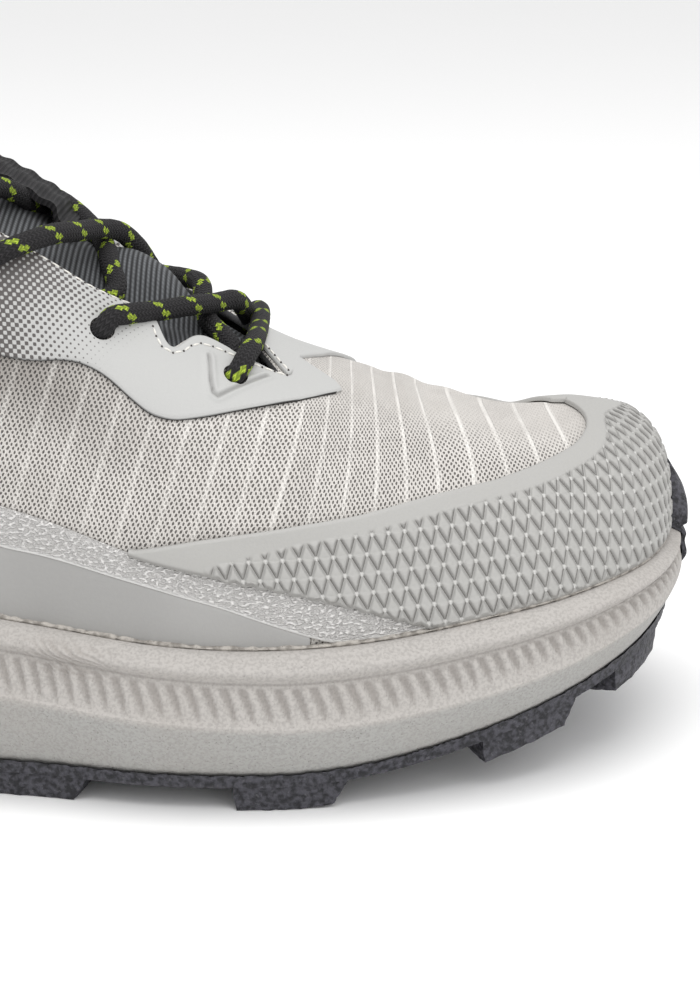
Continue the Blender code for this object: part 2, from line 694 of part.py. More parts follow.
def make_tongue(material, collection):
    def place(u, w):
        return tongue_surface(u, 2 * w - 1)

    tongue = placed_grid("tongue", 16, 10, place, material, collection)
    face_outward(tongue, tongue_surface(np.array([0.5]), np.array([0.0]))[0])
    add_wall(tongue, TONGUE_WALL, outward=False)
    return tongue


def lace_path(start, end, lift):
    """Run of lace from a lateral to a medial place (r, share) over both throat edges and the tongue."""
    stand_off = OVERLAY_WALL + SEAT_GAP + LACE_DIAMETER / 2 + 0.8
    knots = np.array((0.0, 0.14, 0.28, 0.5, 0.72, 0.86, 1.0))
    r = start[0] + (end[0] - start[0]) * knots
    lateral = upper_surface(r[:3], np.linspace(start[1], 1.0, 3), stand_off)
    medial = upper_surface(LOOP - r[4:], np.linspace(1.0, end[1], 3), stand_off)
    middle = (lateral[-1] + medial[0]) / 2 + np.array((0.0, 0.0, lift))
    points = np.concatenate([lateral, middle[None], medial])
    places = np.linspace(0, 1, 11)
    return np.stack([smooth(knots, points[:, axis], places) for axis in range(3)], -1)


def lace_strand(name, path, cutters):
    """One run of lace as a closed tube."""
    curve = bpy.data.curves.new(name, "CURVE")
    curve.dimensions = "3D"
    curve.bevel_depth = LACE_DIAMETER / 2 * MM
    curve.bevel_resolution = 1
    curve.use_fill_caps = True
    spline = curve.splines.new("POLY")
    spline.points.add(len(path) - 1)
    for point, at in zip(spline.points, path):
        point.co = (*(at * MM), 1.0)
    strand = bpy.data.objects.new(name, curve)
    cutters.objects.link(strand)
    bpy.context.view_layer.update()
    mesh = bpy.data.meshes.new_from_object(strand.evaluated_get(bpy.context.evaluated_depsgraph_get()))
    bpy.data.objects.remove(strand)
    welded = bmesh.new()
    welded.from_mesh(mesh)
    bmesh.ops.remove_doubles(welded, verts=welded.verts, dist=0.001 * MM)
    bmesh.ops.recalc_face_normals(welded, faces=welded.faces)
    welded.to_mesh(mesh)
    welded.free()
    mesh.shade_smooth()
    return mesh


def make_laces(material, collection, cutters):
    """Bottom bar and three crossings, each a joined solid clear of the tongue and the eyestay."""
    tucked = 0.5
    front = EYELETS[0]
    bar = lace_strand("lace_bar", lace_path(front, front, 2.2), cutters)
    add_object("lace_bar", bar, material, collection)
    for level in range(len(EYELETS) - 1):
        name = f"lace_cross_{level + 1}"
        (low, low_share), high = EYELETS[level], EYELETS[level + 1]
        edge = (low - 0.12, low_share + (1 - low_share) * tucked)
        over = lace_strand(name, lace_path(high, edge, TONGUE_CROWN - 0.4), cutters)
        under = lace_strand(name, lace_path(edge, high, TONGUE_CROWN - 1.4), cutters)
        cross = add_object(name, over, material, collection)
        other = add_object(f"{name}_under", under, None, cutters)
        join = cross.modifiers.new("join", "BOOLEAN")
        join.operation = "UNION"
        join.object = other


def centre_on_floor(collection):
    """Moves the shoe so that the middle of its footprint box lies on the origin."""
    bpy.context.view_layer.update()
    graph = bpy.context.evaluated_depsgraph_get()
    corners = []
    for shoe_part in collection.objects:
        if shoe_part.type == "MESH":
            mesh = shoe_part.evaluated_get(graph).data
            corners.extend(vert.co.copy() for vert in mesh.vertices)
    corners = np.array(corners)
    low, high = corners.min(axis=0), corners.max(axis=0)
    return Vector((-(low[0] + high[0]) / 2, -(low[1] + high[1]) / 2, -low[2]))


def main():
    for old in list(bpy.data.objects):
        bpy.data.objects.remove(old)
    shoe = bpy.data.collections.new("trail_running_shoe")
    cutters = bpy.data.collections.new("cutters")
    bpy.context.scene.collection.children.link(shoe)
    bpy.context.scene.collection.children.link(cutters)

    knit = make_material("grey_knit", (0.55, 0.54, 0.52), 0.85)
    film = make_material("grey_film", (0.60, 0.61, 0.61), 0.45)
    foam = make_material("pale_foam", (0.70, 0.67, 0.64), 0.75)
    rubber = make_material("black_rubber", (0.03, 0.03, 0.035), 0.70)
    webbing = make_material("black_webbing", (0.03, 0.03, 0.035), 0.85)
    cord = make_material("black_cord", (0.03, 0.03, 0.03), 0.80)
    lining = make_material("dark_lining", (0.06, 0.06, 0.065), 0.90)

    make_outsole(rubber, shoe, cutters)
    make_midsole(foam, shoe)
    upper = make_upper(knit, shoe)
    make_overlays(film, shoe)
    eyestay = make_eyestay(film, shoe)
    punch_eyelets((upper, eyestay), cutters)
    make_tongue(webbing, shoe)
    make_insole(lining, shoe)
    make_laces(cord, shoe, cutters)

    for cutter in cutters.objects:
        cutter.hide_render = True
        cutter.display_type = "WIRE"
    stand = bpy.data.objects.new("shoe_origin", None)
    bpy.context.scene.collection.objects.link(stand)
    stand.location = centre_on_floor(shoe)
    for piece in [*shoe.objects, *cutters.objects]:
        piece.parent = stand


main()
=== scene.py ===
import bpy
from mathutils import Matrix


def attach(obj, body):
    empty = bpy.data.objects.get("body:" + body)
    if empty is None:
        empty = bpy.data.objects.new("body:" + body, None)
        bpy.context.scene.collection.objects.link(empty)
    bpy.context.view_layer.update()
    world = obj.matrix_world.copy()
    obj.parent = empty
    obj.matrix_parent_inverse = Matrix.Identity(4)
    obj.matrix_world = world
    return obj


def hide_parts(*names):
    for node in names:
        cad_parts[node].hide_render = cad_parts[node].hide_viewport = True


bl_info = {
    "name": "Trail Running Shoe",
    "version": (1, 0, 0),
    "blender": (4, 5, 0),
    "location": "View3D > Sidebar > Shoe",
    "description": "Knitted trail running shoe with film overlays, ribbed midsole and lugged outsole",
    "category": "Mesh",
}

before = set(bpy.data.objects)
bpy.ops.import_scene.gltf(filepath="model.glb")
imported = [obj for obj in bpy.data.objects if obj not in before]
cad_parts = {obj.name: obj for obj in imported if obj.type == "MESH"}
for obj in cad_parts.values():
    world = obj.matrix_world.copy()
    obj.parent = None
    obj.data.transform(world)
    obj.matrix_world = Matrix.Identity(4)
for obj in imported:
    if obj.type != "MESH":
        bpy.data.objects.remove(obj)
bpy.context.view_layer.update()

import math

import bpy
import numpy as np
from mathutils import Vector

BODY = "root"
MM = 0.001
ORIGIN = np.array((-150.753, -0.332, 0.0))

# Sections of the upper from heel to toe, as the solids have them.
LENGTH = 300.0
BALL_WIDTH = 90.0
INSTEP_HEIGHT = 120.0
UPPER_WALL = 1.8
COLLAR_PADDING = 6.0
LUG_DEPTH = 4.8
RUBBER_WALL = 1.9
SEAT_GAP = 0.3
RIB_COUNT = 204
FULLNESS = 2.25
SECTION_COLUMNS = ("lat_x", "lat_y", "med_x", "med_y", "top_x", "top_y", "gap", "top_z", "dome", "bulge")
SECTIONS = {
    "heel":    (4.0,    1.0,  4.0,  1.0,  3.0,  1.0,  0.0, 86.5, 0.00, 4.0),
    "counter": (7.0,  -24.5,  7.0, 25.5,  6.0,  1.0, 21.0, 85.0, 0.05, 4.5),
    "rear":    (15.7, -35.5, 15.7, 34.5, 16.0,  0.0, 30.0, 72.5, 0.15, 4.5),
    "ankle":   (26.0, -38.0, 26.0, 32.0, 26.0, -1.0, 31.0, 66.0, 0.25, 4.0),
    "shank":   (36.0, -38.0, 36.0, 31.0, 34.0, -1.0, 30.0, 81.0, 0.40, 3.0),
    "instep":  (46.0, -39.0, 46.0, 34.5, 42.7, -1.0, 25.5, 100.0, 0.62, 2.5),
    "waist":   (55.3, -43.0, 55.3, 41.0, 52.7, -1.0, 21.0, 92.5, 0.80, 2.0),
    "lacing":  (64.3, -49.5, 64.7, 48.0, 62.3,  0.0, 15.5, 76.7, 0.92, 2.0),
    "throat":  (73.3, -49.5, 73.7, 51.0, 71.7, -3.3,  0.0, 67.0, 1.00, 2.0),
    "ball":    (82.0, -43.0, 82.3, 49.0, 79.0,  4.5,  0.0, 60.2, 1.00, 2.0),
    "vamp":    (89.3, -33.5, 90.0, 42.0, 85.3,  9.0,  0.0, 54.8, 1.00, 2.5),
    "toe_box": (95.0, -16.0, 95.3, 30.0, 90.3, 11.0,  0.0, 54.2, 1.00, 3.0),
    "toe":     (97.2,   9.0, 97.2,  9.0, 93.0, 12.0,  0.0, 53.8, 1.00, 3.5),
}
LAST = len(SECTIONS) - 1
LOOP = 2 * LAST
LOOP_STATIONS = np.linspace(0, LOOP, 481)
THROAT = list(SECTIONS).index("throat")
INSTEP = list(SECTIONS).index("instep")

# Lines of the sole along the shoe: x in percent of LENGTH, heights in millimetres.
SOLE_COLUMNS = ("x", "floor", "bed", "rim")
SOLE_LINES = (
    (0, 10.0, 33.0, 50.0),
    (8, 1.5, 31.0, 46.0),
    (20, -0.6, 30.0, 43.5),
    (33, -0.3, 28.5, 41.0),
    (47, 0.4, 26.0, 38.0),
    (58, -0.5, 23.5, 34.3),
    (68, -0.5, 22.0, 32.0),
    (78, 1.8, 22.5, 32.8),
    (88, 9.0, 26.5, 36.3),
    (97, 19.0, 30.5, 39.3),
    (100, 24.0, 31.5, 39.5),
)

# Midsole side from the outsole up: share of the height at waist, ball and toe, reach at heel, side and toe.
SIDE_STATIONS = (165.0, 215.0, 285.0)
REACH_STATIONS = (30.0, 60.0, 255.0, 290.0)
SIDE_STEPS = (
    (0.00, 0.00, 0.00, 4.0, 3.0, 2.3),
    (0.27, 0.24, 0.21, 7.0, 6.3, 4.4),
    (0.53, 0.45, 0.40, 9.0, 8.5, 5.7),
    (0.58, 0.51, 0.46, 8.8, 8.2, 5.6),
    (0.77, 0.72, 0.71, 8.0, 6.9, 5.2),
    (0.84, 0.79, 0.78, 7.2, 5.9, 4.6),
    (0.92, 0.90, 0.89, 8.0, 6.8, 5.4),
    (1.00, 1.00, 1.00, 5.0, 3.5, 3.2),
)
BASE, TUCK, LEDGE, RIB_LOW, RIB_HIGH, GROOVE, BEAD, LIP = range(len(SIDE_STEPS))

# Edges on the upper: share of the wall's height at places along the sections, from the heel.
TOE_CAP_TOP = {6.8: 0.232, 7.28: 0.283, 7.81: 0.331, 8.36: 0.386, 8.87: 0.449, 9.17: 0.484, 9.48: 0.524,
               9.84: 0.584, 10.06: 0.619, 10.25: 0.647, 10.45: 0.677, 10.58: 0.706, 10.74: 0.752, 10.86: 0.80,
               10.95: 0.855, 11.02: 0.922, 11.08: 1.0, 12.0: 1.0}
MEDIAL_CAP_TOP = {6.8: 0.232, 7.28: 0.284, 7.95: 0.364, 8.53: 0.46, 8.94: 0.561, 9.34: 0.674, 9.85: 0.81,
                  10.15: 0.867, 10.49: 0.932, 10.87: 1.0, 12.0: 1.0}
CAP_JOINED = 11.12
LOZENGE_TOP = {7.2: 0.218, 7.37: 0.242, 7.94: 0.306, 8.36: 0.346, 8.86: 0.398, 9.45: 0.466, 9.77: 0.504,
               10.15: 0.554, 10.58: 0.607, 10.8: 0.654, 10.95: 0.714, 11.05: 0.775, 11.2: 0.828, 11.6: 0.86,
               12.0: 0.87}
BAND_TOP = {0.0: 0.80, 1.0: 0.78, 2.0: 0.70, 3.0: 0.58, 4.0: 0.44, 5.0: 0.30, 5.89: 0.237,
            6.73: 0.223, 7.37: 0.213, 7.8: 0.201, 8.22: 0.18, 8.57: 0.148, 8.9: 0.112}
BAND_LOW = {0.0: 0.66, 1.0: 0.64, 2.0: 0.56, 3.0: 0.45, 4.0: 0.33, 5.0: 0.225, 5.88: 0.177,
            6.39: 0.177, 6.92: 0.174, 7.39: 0.157, 7.93: 0.115, 8.2: 0.094, 8.9: 0.088}
EYESTAY_LOW = {4.55: 0.58, 5.0: 0.53, 6.0: 0.515, 6.25: 0.53, 6.45: 0.575, 6.65: 0.592, 6.8: 0.577,
               6.9: 0.542, 7.05: 0.526, 7.3: 0.56, 7.6: 0.617, 8.0: 0.693, 8.3: 0.768, 8.345: 0.785,
               8.5: 0.86}

# Throat edge, then the line from the throat's front corner to the notch in the eyestay's front edge.
# Shares past 1 lie beyond the ridge, on the other side.
THROAT_EDGE = {0.0: 1.0, 4.3: 1.0, 4.9: 0.95, 5.5: 0.90, 6.0: 0.875, 6.36: 0.869, 6.65: 0.872, 6.88: 0.897,
               7.0: 0.917, 7.05: 0.90, 7.085: 0.855, 7.105: 0.81, 7.135: 0.778, 7.16: 0.767, 7.20: 0.775,
               7.25: 0.81, 7.30: 0.845, 7.35: 0.867, 7.40: 0.873, 7.455: 0.865, 7.54: 0.845, 7.58: 0.83,
               7.73: 0.805, 7.80: 0.792, 7.884: 0.784, 7.955: 0.782, 8.057: 0.905, 8.3: 1.0, 12.0: 1.0}
MEDIAL_EDGE = {0.0: 1.0, 4.3: 1.0, 4.9: 0.95, 5.5: 0.90, 6.0: 0.875, 6.5: 0.87, 7.0: 0.86, 7.3: 0.86,
               7.5: 0.87, 7.62: 0.895, 7.70: 0.94, 7.75: 1.0, 7.785: 1.09, 7.853: 1.153, 7.914: 1.201,
               7.955: 1.218, 8.057: 1.095, 8.3: 1.0, 12.0: 1.0}
CLOSED = 7.97
LATERAL_FRONT = {8.057: 0.905, 8.119: 0.882, 8.231: 0.848, 8.302: 0.825, 8.333: 0.803, 8.345: 0.787}
MEDIAL_FRONT = {8.057: 1.095, 8.2: 1.035, 8.3: 1.0, 8.4: 0.95, 8.48: 0.90, 8.5: 0.862}
FRONT_SEAM = ((7.047, 0.82), (7.067, 0.774), (7.098, 0.747), (7.149, 0.737), (7.22, 0.749), (7.261, 0.777),
              (7.312, 0.805), (7.373, 0.822), (7.445, 0.817), (7.537, 0.807), (7.639, 0.794), (7.731, 0.782),
              (7.833, 0.777), (7.925, 0.774))
EYELET_FRAME = ((7.40, 0.775), (7.40, 0.682), (7.41, 0.647), (7.44, 0.638), (7.59, 0.69), (7.78, 0.752))
EYELETS = ((7.567, 0.727), (6.71, 0.717), (5.93, 0.72), (5.15, 0.74))
EYELET_RADIUS = 2.4

# Edge lugs from heel to toe: middle and length, as places along the sections, on both sides.
EDGE_LUGS = ((0.85, 0.80), (2.60, 0.80), (4.35, 0.80), (6.08, 0.75), (7.86, 0.83), (9.70, 0.90),
             (10.95, 0.80))

# How far the vamp falls away beside its ridge on the medial side, in millimetres.
VAMP_FALL = 2.6

# Creases across the forefoot: place along the sections, width, lean and depth.
CREASES = ((8.75, 0.10, 0.35, 0.4), (9.15, 0.12, 0.45, 0.4), (7.75, 0.16, -0.3, 0.3))

# Overlays: how far the inner and the outer face of each film stand off the knit, in millimetres, and the
# least share of the upper's height that a strip covers.
CAP_REACH = (0.3, 1.3)
BAND_REACH = (0.2, 0.85)
RAND_REACH = (0.2, 0.75)
EYESTAY_REACH = (0.1, 0.85)
LEAST_STRIP = 0.012

# Tongue: height of its middle above the throat's edges at places along the sections, and its sizes.
TONGUE_CROWN = {4.0: 4.0, 5.0: 3.0, 6.0: 0.6, 6.35: 0.8, 6.7: 1.0, 6.85: 4.6, 7.0: 6.6, 7.2: 6.0, 7.35: 2.0,
                7.5: -0.8, 7.75: -0.6, 8.0: 0.0, 9.0: 0.0}
TONGUE_WALL = 4.5
TONGUE_LENGTH = 125.0
TONGUE_HALF_WIDTH = 30.0

# Route of the lace in millimetres: half of the front bar from its middle, the strands of the two front
# crossings from the eyelet they leave to the eyelet above on the other side, and the strand of the third
# crossing that passes under the strap. Then the pitch of the path that is laid through them.
BAR_HALF = ((209.2, -1.0, 83.3), (209.2, -8.0, 83.7), (208.8, -17.0, 83.6), (207.9, -22.0, 82.8),
            (206.8, -25.4, 81.2))
MEDIAL_UP = (
    ((206.8, 14.0, 80.5), (206.0, 7.0, 85.6), (204.4, 1.0, 88.8), (200.9, -5.0, 89.4), (196.0, -14.0, 90.6),
     (190.3, -21.0, 91.0), (186.0, -26.3, 91.6), (183.2, -29.2, 91.6)),
    ((186.8, 14.0, 91.5), (185.5, 9.0, 96.5), (184.1, 5.0, 99.6), (181.7, 1.5, 102.5), (178.2, -4.5, 104.0),
     (175.4, -12.0, 104.8), (171.9, -20.2, 105.7), (167.8, -27.0, 105.3), (163.2, -30.8, 103.8)),
)
KEPT_UP = ((165.8, 10.0, 106.0), (165.0, -1.0, 108.6), (163.2, -7.0, 111.2), (160.6, -11.5, 113.2),
           (157.5, -17.0, 113.6))
LATERAL_UP = (
    ((205.0, -17.0, 82.0), (202.3, -12.0, 84.6), (199.6, -7.0, 86.2), (198.2, 0.0, 88.6), (197.2, 7.0, 90.8),
     (194.0, 14.0, 90.7), (188.0, 21.5, 90.2), (183.6, 26.5, 90.4)),
    ((182.6, -16.0, 94.0), (180.8, -9.0, 97.8), (179.3, -2.0, 99.8), (176.0, 6.0, 102.3),
     (171.0, 14.0, 105.0), (166.0, 21.5, 106.2), (162.2, 28.0, 104.4)),
)
LACE_PITCH = 0.7

# Floor and lamps in metres and watts: name, place, target, size and power of each lamp.
FLOOR_SIZE = 8.0
SKY_STRENGTH = 0.88
LAMPS = (("overhead", (0.05, -0.25, 1.1), (0.02, 0.0, 0.05), 1.0, 7.5),
         ("front", (0.75, -0.95, 0.75), (0.07, 0.0, 0.05), 0.8, 2.5))

# Camera: place in millimetres, tilt up from straight down in degrees, lens and sensor in millimetres.
CAMERA_PLACE = (227.5, -402.0, 170.0)
CAMERA_TILT = 73.0
CAMERA_LENS = 73.44
CAMERA_SENSOR = 36.0


def srgb(red, green, blue):
    """Scene-linear colour of a screen colour given in 0 to 255."""
    shares = (channel / 255 for channel in (red, green, blue))
    return tuple(((c + 0.055) / 1.055) ** 2.4 if c > 0.04 else c / 12.92 for c in shares)


class ShoeSizes(bpy.types.PropertyGroup):
    """Sizes of the knit, the relief and the trim."""
    stitch_width: bpy.props.FloatProperty(
        name="Knit stitch width", description="Width of one knitted stitch", default=0.98 * MM, unit="LENGTH")
    stitch_height: bpy.props.FloatProperty(
        name="Knit stitch height", description="Height of one knitted course", default=0.74 * MM,
        unit="LENGTH")
    stripe_pitch: bpy.props.FloatProperty(
        name="Stripe pitch", description="Distance between the pale stripes in the knit", default=7.0 * MM,
        unit="LENGTH")
    lozenge_width: bpy.props.FloatProperty(
        name="Lozenge width", description="Width of one moulded lozenge of the toe cap", default=3.2 * MM,
        unit="LENGTH")
    lozenge_height: bpy.props.FloatProperty(
        name="Lozenge height", description="Height of one moulded lozenge of the toe cap", default=7.0 * MM,
        unit="LENGTH")
    lozenge_relief: bpy.props.FloatProperty(
        name="Lozenge relief", description="How far a lozenge stands out", default=0.55 * MM, unit="LENGTH")
    rib_depth: bpy.props.FloatProperty(
        name="Midsole rib depth", description="Depth of the flutes in the midsole's side", default=0.6 * MM,
        unit="LENGTH")
    dot_pitch: bpy.props.FloatProperty(
        name="Dot pitch", description="Distance between printed dots on the eyestay", default=1.14 * MM,
        unit="LENGTH")
    lace_diameter: bpy.props.FloatProperty(
        name="Lace diameter", description="Diameter of the round lace", default=4.0 * MM, unit="LENGTH")
    seam_stitch: bpy.props.FloatProperty(
        name="Seam stitch", description="Length of one sewn stitch along the throat", default=2.5 * MM,
        unit="LENGTH")


class ShoeColours(bpy.types.PropertyGroup):
    """Colours of the shoe and its stage."""
    knit: bpy.props.FloatVectorProperty(
        name="Knit", description="Yarn of the upper", default=srgb(216, 212, 207), subtype="COLOR")
    stripe: bpy.props.FloatVectorProperty(
        name="Stripe", description="Pale stripes in the knit", default=srgb(234, 231, 226), subtype="COLOR")
    film: bpy.props.FloatVectorProperty(
        name="Film", description="Film of the eyestay", default=srgb(179, 179, 177), subtype="COLOR")
    cap: bpy.props.FloatVectorProperty(
        name="Toe cap", description="Film of the toe cap", default=srgb(171, 170, 167), subtype="COLOR")
    band: bpy.props.FloatVectorProperty(
        name="Side band", description="Film of the side band", default=srgb(214, 212, 210), subtype="COLOR")
    rand: bpy.props.FloatVectorProperty(
        name="Rand", description="Film of the rand", default=srgb(154, 153, 151), subtype="COLOR")
    foam: bpy.props.FloatVectorProperty(
        name="Foam", description="Midsole", default=srgb(176, 172, 168), subtype="COLOR")
    rubber: bpy.props.FloatVectorProperty(
        name="Rubber", description="Outsole and toe guard", default=srgb(44, 44, 50), subtype="COLOR")
    cord: bpy.props.FloatVectorProperty(
        name="Lace", description="Braid of the lace", default=srgb(42, 40, 42), subtype="COLOR")
    fleck: bpy.props.FloatVectorProperty(
        name="Lace fleck", description="Bright tracer yarn in the lace", default=srgb(176, 200, 62),
        subtype="COLOR")
    webbing: bpy.props.FloatVectorProperty(
        name="Tongue", description="Ribbed webbing of the tongue", default=srgb(106, 108, 111),
        subtype="COLOR")
    lining: bpy.props.FloatVectorProperty(
        name="Lining", description="Inside of the shoe", default=srgb(58, 58, 61), subtype="COLOR")
    floor: bpy.props.FloatVectorProperty(
        name="Floor", description="Floor under the shoe", default=srgb(251, 251, 251), subtype="COLOR")


# Form of the shoe

def smooth(knots, values, at):
    """Cubic curve through the knots with central-difference slopes."""
    knots = np.asarray(knots, float)
    values = np.asarray(values, float)
    slopes = np.gradient(values, knots)
    at = np.asarray(at, float)
    i = np.clip(np.searchsorted(knots, at, side="right") - 1, 0, len(knots) - 2)
    step = knots[i + 1] - knots[i]
    t = (at - knots[i]) / step
    return ((1 + 2 * t) * (1 - t) ** 2 * values[i] + t * (1 - t) ** 2 * step * slopes[i]
            + t * t * (3 - 2 * t) * values[i + 1] + t * t * (t - 1) * step * slopes[i + 1])


def ease(value, low, high):
    """0 below low, 1 above high, smooth between."""
    t = np.clip((value - low) / (high - low), 0, 1)
    return t * t * (3 - 2 * t)


def table_line(table, at):
    """Value of a table of places, straight between its entries."""
    return np.interp(at, list(table), list(table.values()))


def section_column(name):
    """One column of SECTIONS in millimetres, or as it stands for dome and bulge."""
    across = BALL_WIDTH / 100
    units = {"x": LENGTH / 100, "y": across, "gap": across, "z": INSTEP_HEIGHT / 100}
    scale = units.get(name.split("_")[-1], 1.0)
    column = SECTION_COLUMNS.index(name)
    return np.array([row[column] * scale for row in SECTIONS.values()])


def ring(lateral, medial, q):
    """Value at place q of the loop heel, lateral side, toe, medial side, heel."""
    loop = np.concatenate([lateral, medial[-2:0:-1]])
    wrapped = np.concatenate([loop[-3:], loop, loop[:3]])
    return smooth(np.arange(-3, LOOP + 3), wrapped, np.mod(q, LOOP))


def ring_column(name, q):
    """A column that is the same on both sides, at a loop place."""
    values = section_column(name)
    return ring(values, values, q)


def on_medial(q):
    """Whether a loop place lies on the medial side."""
    return np.mod(q, LOOP) > LAST


def section_place(q):
    """Place along the sections, 0 at the heel and LAST at the toe, on either side."""
    q = np.mod(q, LOOP)
    return np.where(q > LAST, LOOP - q, q)


def sole_line(name, x):
    """One column of SOLE_LINES at a length along the shoe."""
    column = SOLE_COLUMNS.index(name)
    stations = [row[0] * LENGTH / 100 for row in SOLE_LINES]
    return smooth(stations, [row[column] for row in SOLE_LINES], x)


def floor_height(x):
    """Underside of the lugs."""
    return np.maximum(0.0, sole_line("floor", x))


def foot(q):
    """Edge of the footbed in plan."""
    x = ring(section_column("lat_x"), section_column("med_x"), q)
    y = ring(section_column("lat_y"), section_column("med_y"), q)
    return x, y


def foot_normal(q):
    """Outward direction in plan at the footbed's edge."""
    step = 0.01
    x0, y0 = foot(q - step)
    x1, y1 = foot(q + step)
    length = np.hypot(x1 - x0, y1 - y0)
    return (y1 - y0) / length, (x0 - x1) / length


def top_edge(q):
    """Collar, throat edge, or the closed ridge ahead of the throat."""
    place = section_place(q)
    gap = section_column("gap")
    half = smooth(np.arange(-3, LAST + 1), np.concatenate([-gap[3:0:-1], gap]), place)
    half = np.where(place >= THROAT, 0.0, np.maximum(half, 0.0))
    side = np.where(on_medial(q), 1.0, -1.0)
    return ring_column("top_x", q), ring_column("top_y", q) + side * half, ring_column("top_z", q)


def over_ridge(q, v):
    """Loop place and share of a point whose share may run past the ridge on to the other side."""
    q, v = np.broadcast_arrays(np.asarray(q, float), np.asarray(v, float))
    return np.where(v > 1, LOOP - q, q), np.where(v > 1, 2 - v, v)


def vamp_slope(q, v):
    """How far the vamp falls away on the medial side of its ridge."""
    place = section_place(q)
    zone = ease(place, 7.3, 7.9) * (1 - ease(place, 10.0, 10.9))
    fall = VAMP_FALL * ease(1 - v, 0.0, 0.2) * (1 - ease(1 - v, 0.3, 0.6))
    return np.where(on_medial(q), zone * fall, 0.0)


def upper_surface(q, v, offset=0.0):
    """Outer face of the upper at loop place q, a share v of the way up, moved out by offset."""
    q, v = over_ridge(q, v)
    foot_x, foot_y = foot(q)
    foot_z = sole_line("bed", foot_x)
    top_x, top_y, top_z = top_edge(q)
    dome = ring_column("dome", q)
    turn = np.clip(v, 0, 1) * np.pi / 2
    inward = dome * (1 - np.cos(turn) ** (2 / FULLNESS)) + (1 - dome) * v
    rise = dome * np.sin(turn) ** (2 / FULLNESS) + (1 - dome) * v
    normal_x, normal_y = foot_normal(q)
    swell = ring_column("bulge", q) * np.sin(np.pi * np.clip(v, 0, 1))
    points = np.stack([foot_x + (top_x - foot_x) * inward + normal_x * swell,
                       foot_y + (top_y - foot_y) * inward + normal_y * swell,
                       foot_z + (top_z - foot_z) * rise - vamp_slope(q, v)], -1)
    if np.any(offset):
        points = points + upper_normal(q, v) * np.broadcast_to(offset, q.shape)[..., None]
    return points


def upper_normal(q, v):
    """Outward direction of the upper; on the ridge it lies in the upright plane along it."""
    step = 0.02
    q, v = over_ridge(q, v)
    along = upper_surface(q + step, v) - upper_surface(q - step, v)
    up = upper_surface(q, np.minimum(v + step, 1)) - upper_surface(q, np.maximum(v - step, 0))
    normal = np.cross(up, along)
    normal /= np.linalg.norm(normal, axis=-1, keepdims=True)
    plan_x, plan_y = foot_normal(q)
    outward = np.sign(normal[..., 0] * plan_x + normal[..., 1] * plan_y + normal[..., 2])
    normal = normal * outward[..., None]
    on_ridge = (np.asarray(v) > 0.995) & (section_place(q) >= THROAT)
    level = np.stack([-along[..., 2], 0 * along[..., 1], along[..., 0]], -1) * np.sign(along[..., :1])
    upright = np.stack([normal[..., 0], 0 * normal[..., 1], normal[..., 2]], -1)
    level = np.where(np.linalg.norm(along, axis=-1, keepdims=True) < 1e-6, upright, level)
    level /= np.linalg.norm(level, axis=-1, keepdims=True)
    return np.where(on_ridge[..., None], level, normal)


def share_at_height(q, height, offset=0.0):
    """Share v at which the upper reaches a height near the sole."""
    low = np.zeros_like(q)
    high = np.full_like(q, 0.5)
    for _ in range(24):
        middle = (low + high) / 2
        below = upper_surface(q, middle, offset)[..., 2] < height
        low = np.where(below, middle, low)
        high = np.where(below, high, middle)
    return (low + high) / 2


def arc_up(q, v, steps=14):
    """Length along the upper from the footbed's edge up to share v."""
    length = np.zeros(np.shape(q))
    last = upper_surface(q, 0 * v)
    for k in range(1, steps + 1):
        here = upper_surface(q, v * k / steps)
        length += np.linalg.norm(here - last, axis=-1)
        last = here
    return length


def arc_along(q, share=0.4):
    """Length along the upper round the loop from the heel, at one share of its height."""
    track = upper_surface(LOOP_STATIONS, share)
    lengths = np.concatenate([[0], np.cumsum(np.linalg.norm(np.diff(track, axis=0), axis=-1))])
    return np.floor(np.asarray(q) / LOOP) * lengths[-1] + np.interp(np.mod(q, LOOP), LOOP_STATIONS, lengths)


def rim_height(q):
    """Height of the midsole's rim at a loop place."""
    return sole_line("rim", foot(q)[0])


def side_point(q, step, extra=0.0):
    """Point on the midsole's side at a place among SIDE_STEPS, pushed out by extra."""
    q = np.asarray(q, float)
    columns = np.array(SIDE_STEPS).T
    waist, ball, toe, heel_reach, side_reach, toe_reach = (
        smooth(np.arange(len(SIDE_STEPS)), column, step + 0 * q) for column in columns)
    foot_x, foot_y = foot(q)
    normal_x, normal_y = foot_normal(q)
    to_side = np.clip((foot_x - REACH_STATIONS[0]) / (REACH_STATIONS[1] - REACH_STATIONS[0]), 0, 1)
    to_toe = np.clip((foot_x - REACH_STATIONS[2]) / (REACH_STATIONS[3] - REACH_STATIONS[2]), 0, 1)
    reach = heel_reach + (side_reach - heel_reach) * to_side + (toe_reach - side_reach) * to_toe + extra
    to_ball = np.clip((foot_x - SIDE_STATIONS[0]) / (SIDE_STATIONS[1] - SIDE_STATIONS[0]), 0, 1)
    to_tip = np.clip((foot_x - SIDE_STATIONS[1]) / (SIDE_STATIONS[2] - SIDE_STATIONS[1]), 0, 1)
    share = waist + (ball - waist) * to_ball + (toe - ball) * to_tip
    x = foot_x + normal_x * reach
    y = foot_y + normal_y * reach
    base = floor_height(x) + LUG_DEPTH + RUBBER_WALL + SEAT_GAP
    return np.stack([x, y, base + (rim_height(q) - base) * share], -1)


def centre_line(q):
    """Middle of the sole between the two sides, kept clear of the heel's and toe's ends."""
    place = section_place(q)
    middle = (foot(place)[0] + foot(LOOP - place)[0]) / 2
    x = np.clip(middle, 0.12 * LENGTH, 0.88 * LENGTH)
    return x, np.interp(x, (0.12 * LENGTH, 0.88 * LENGTH), (0.0, 0.04 * BALL_WIDTH))


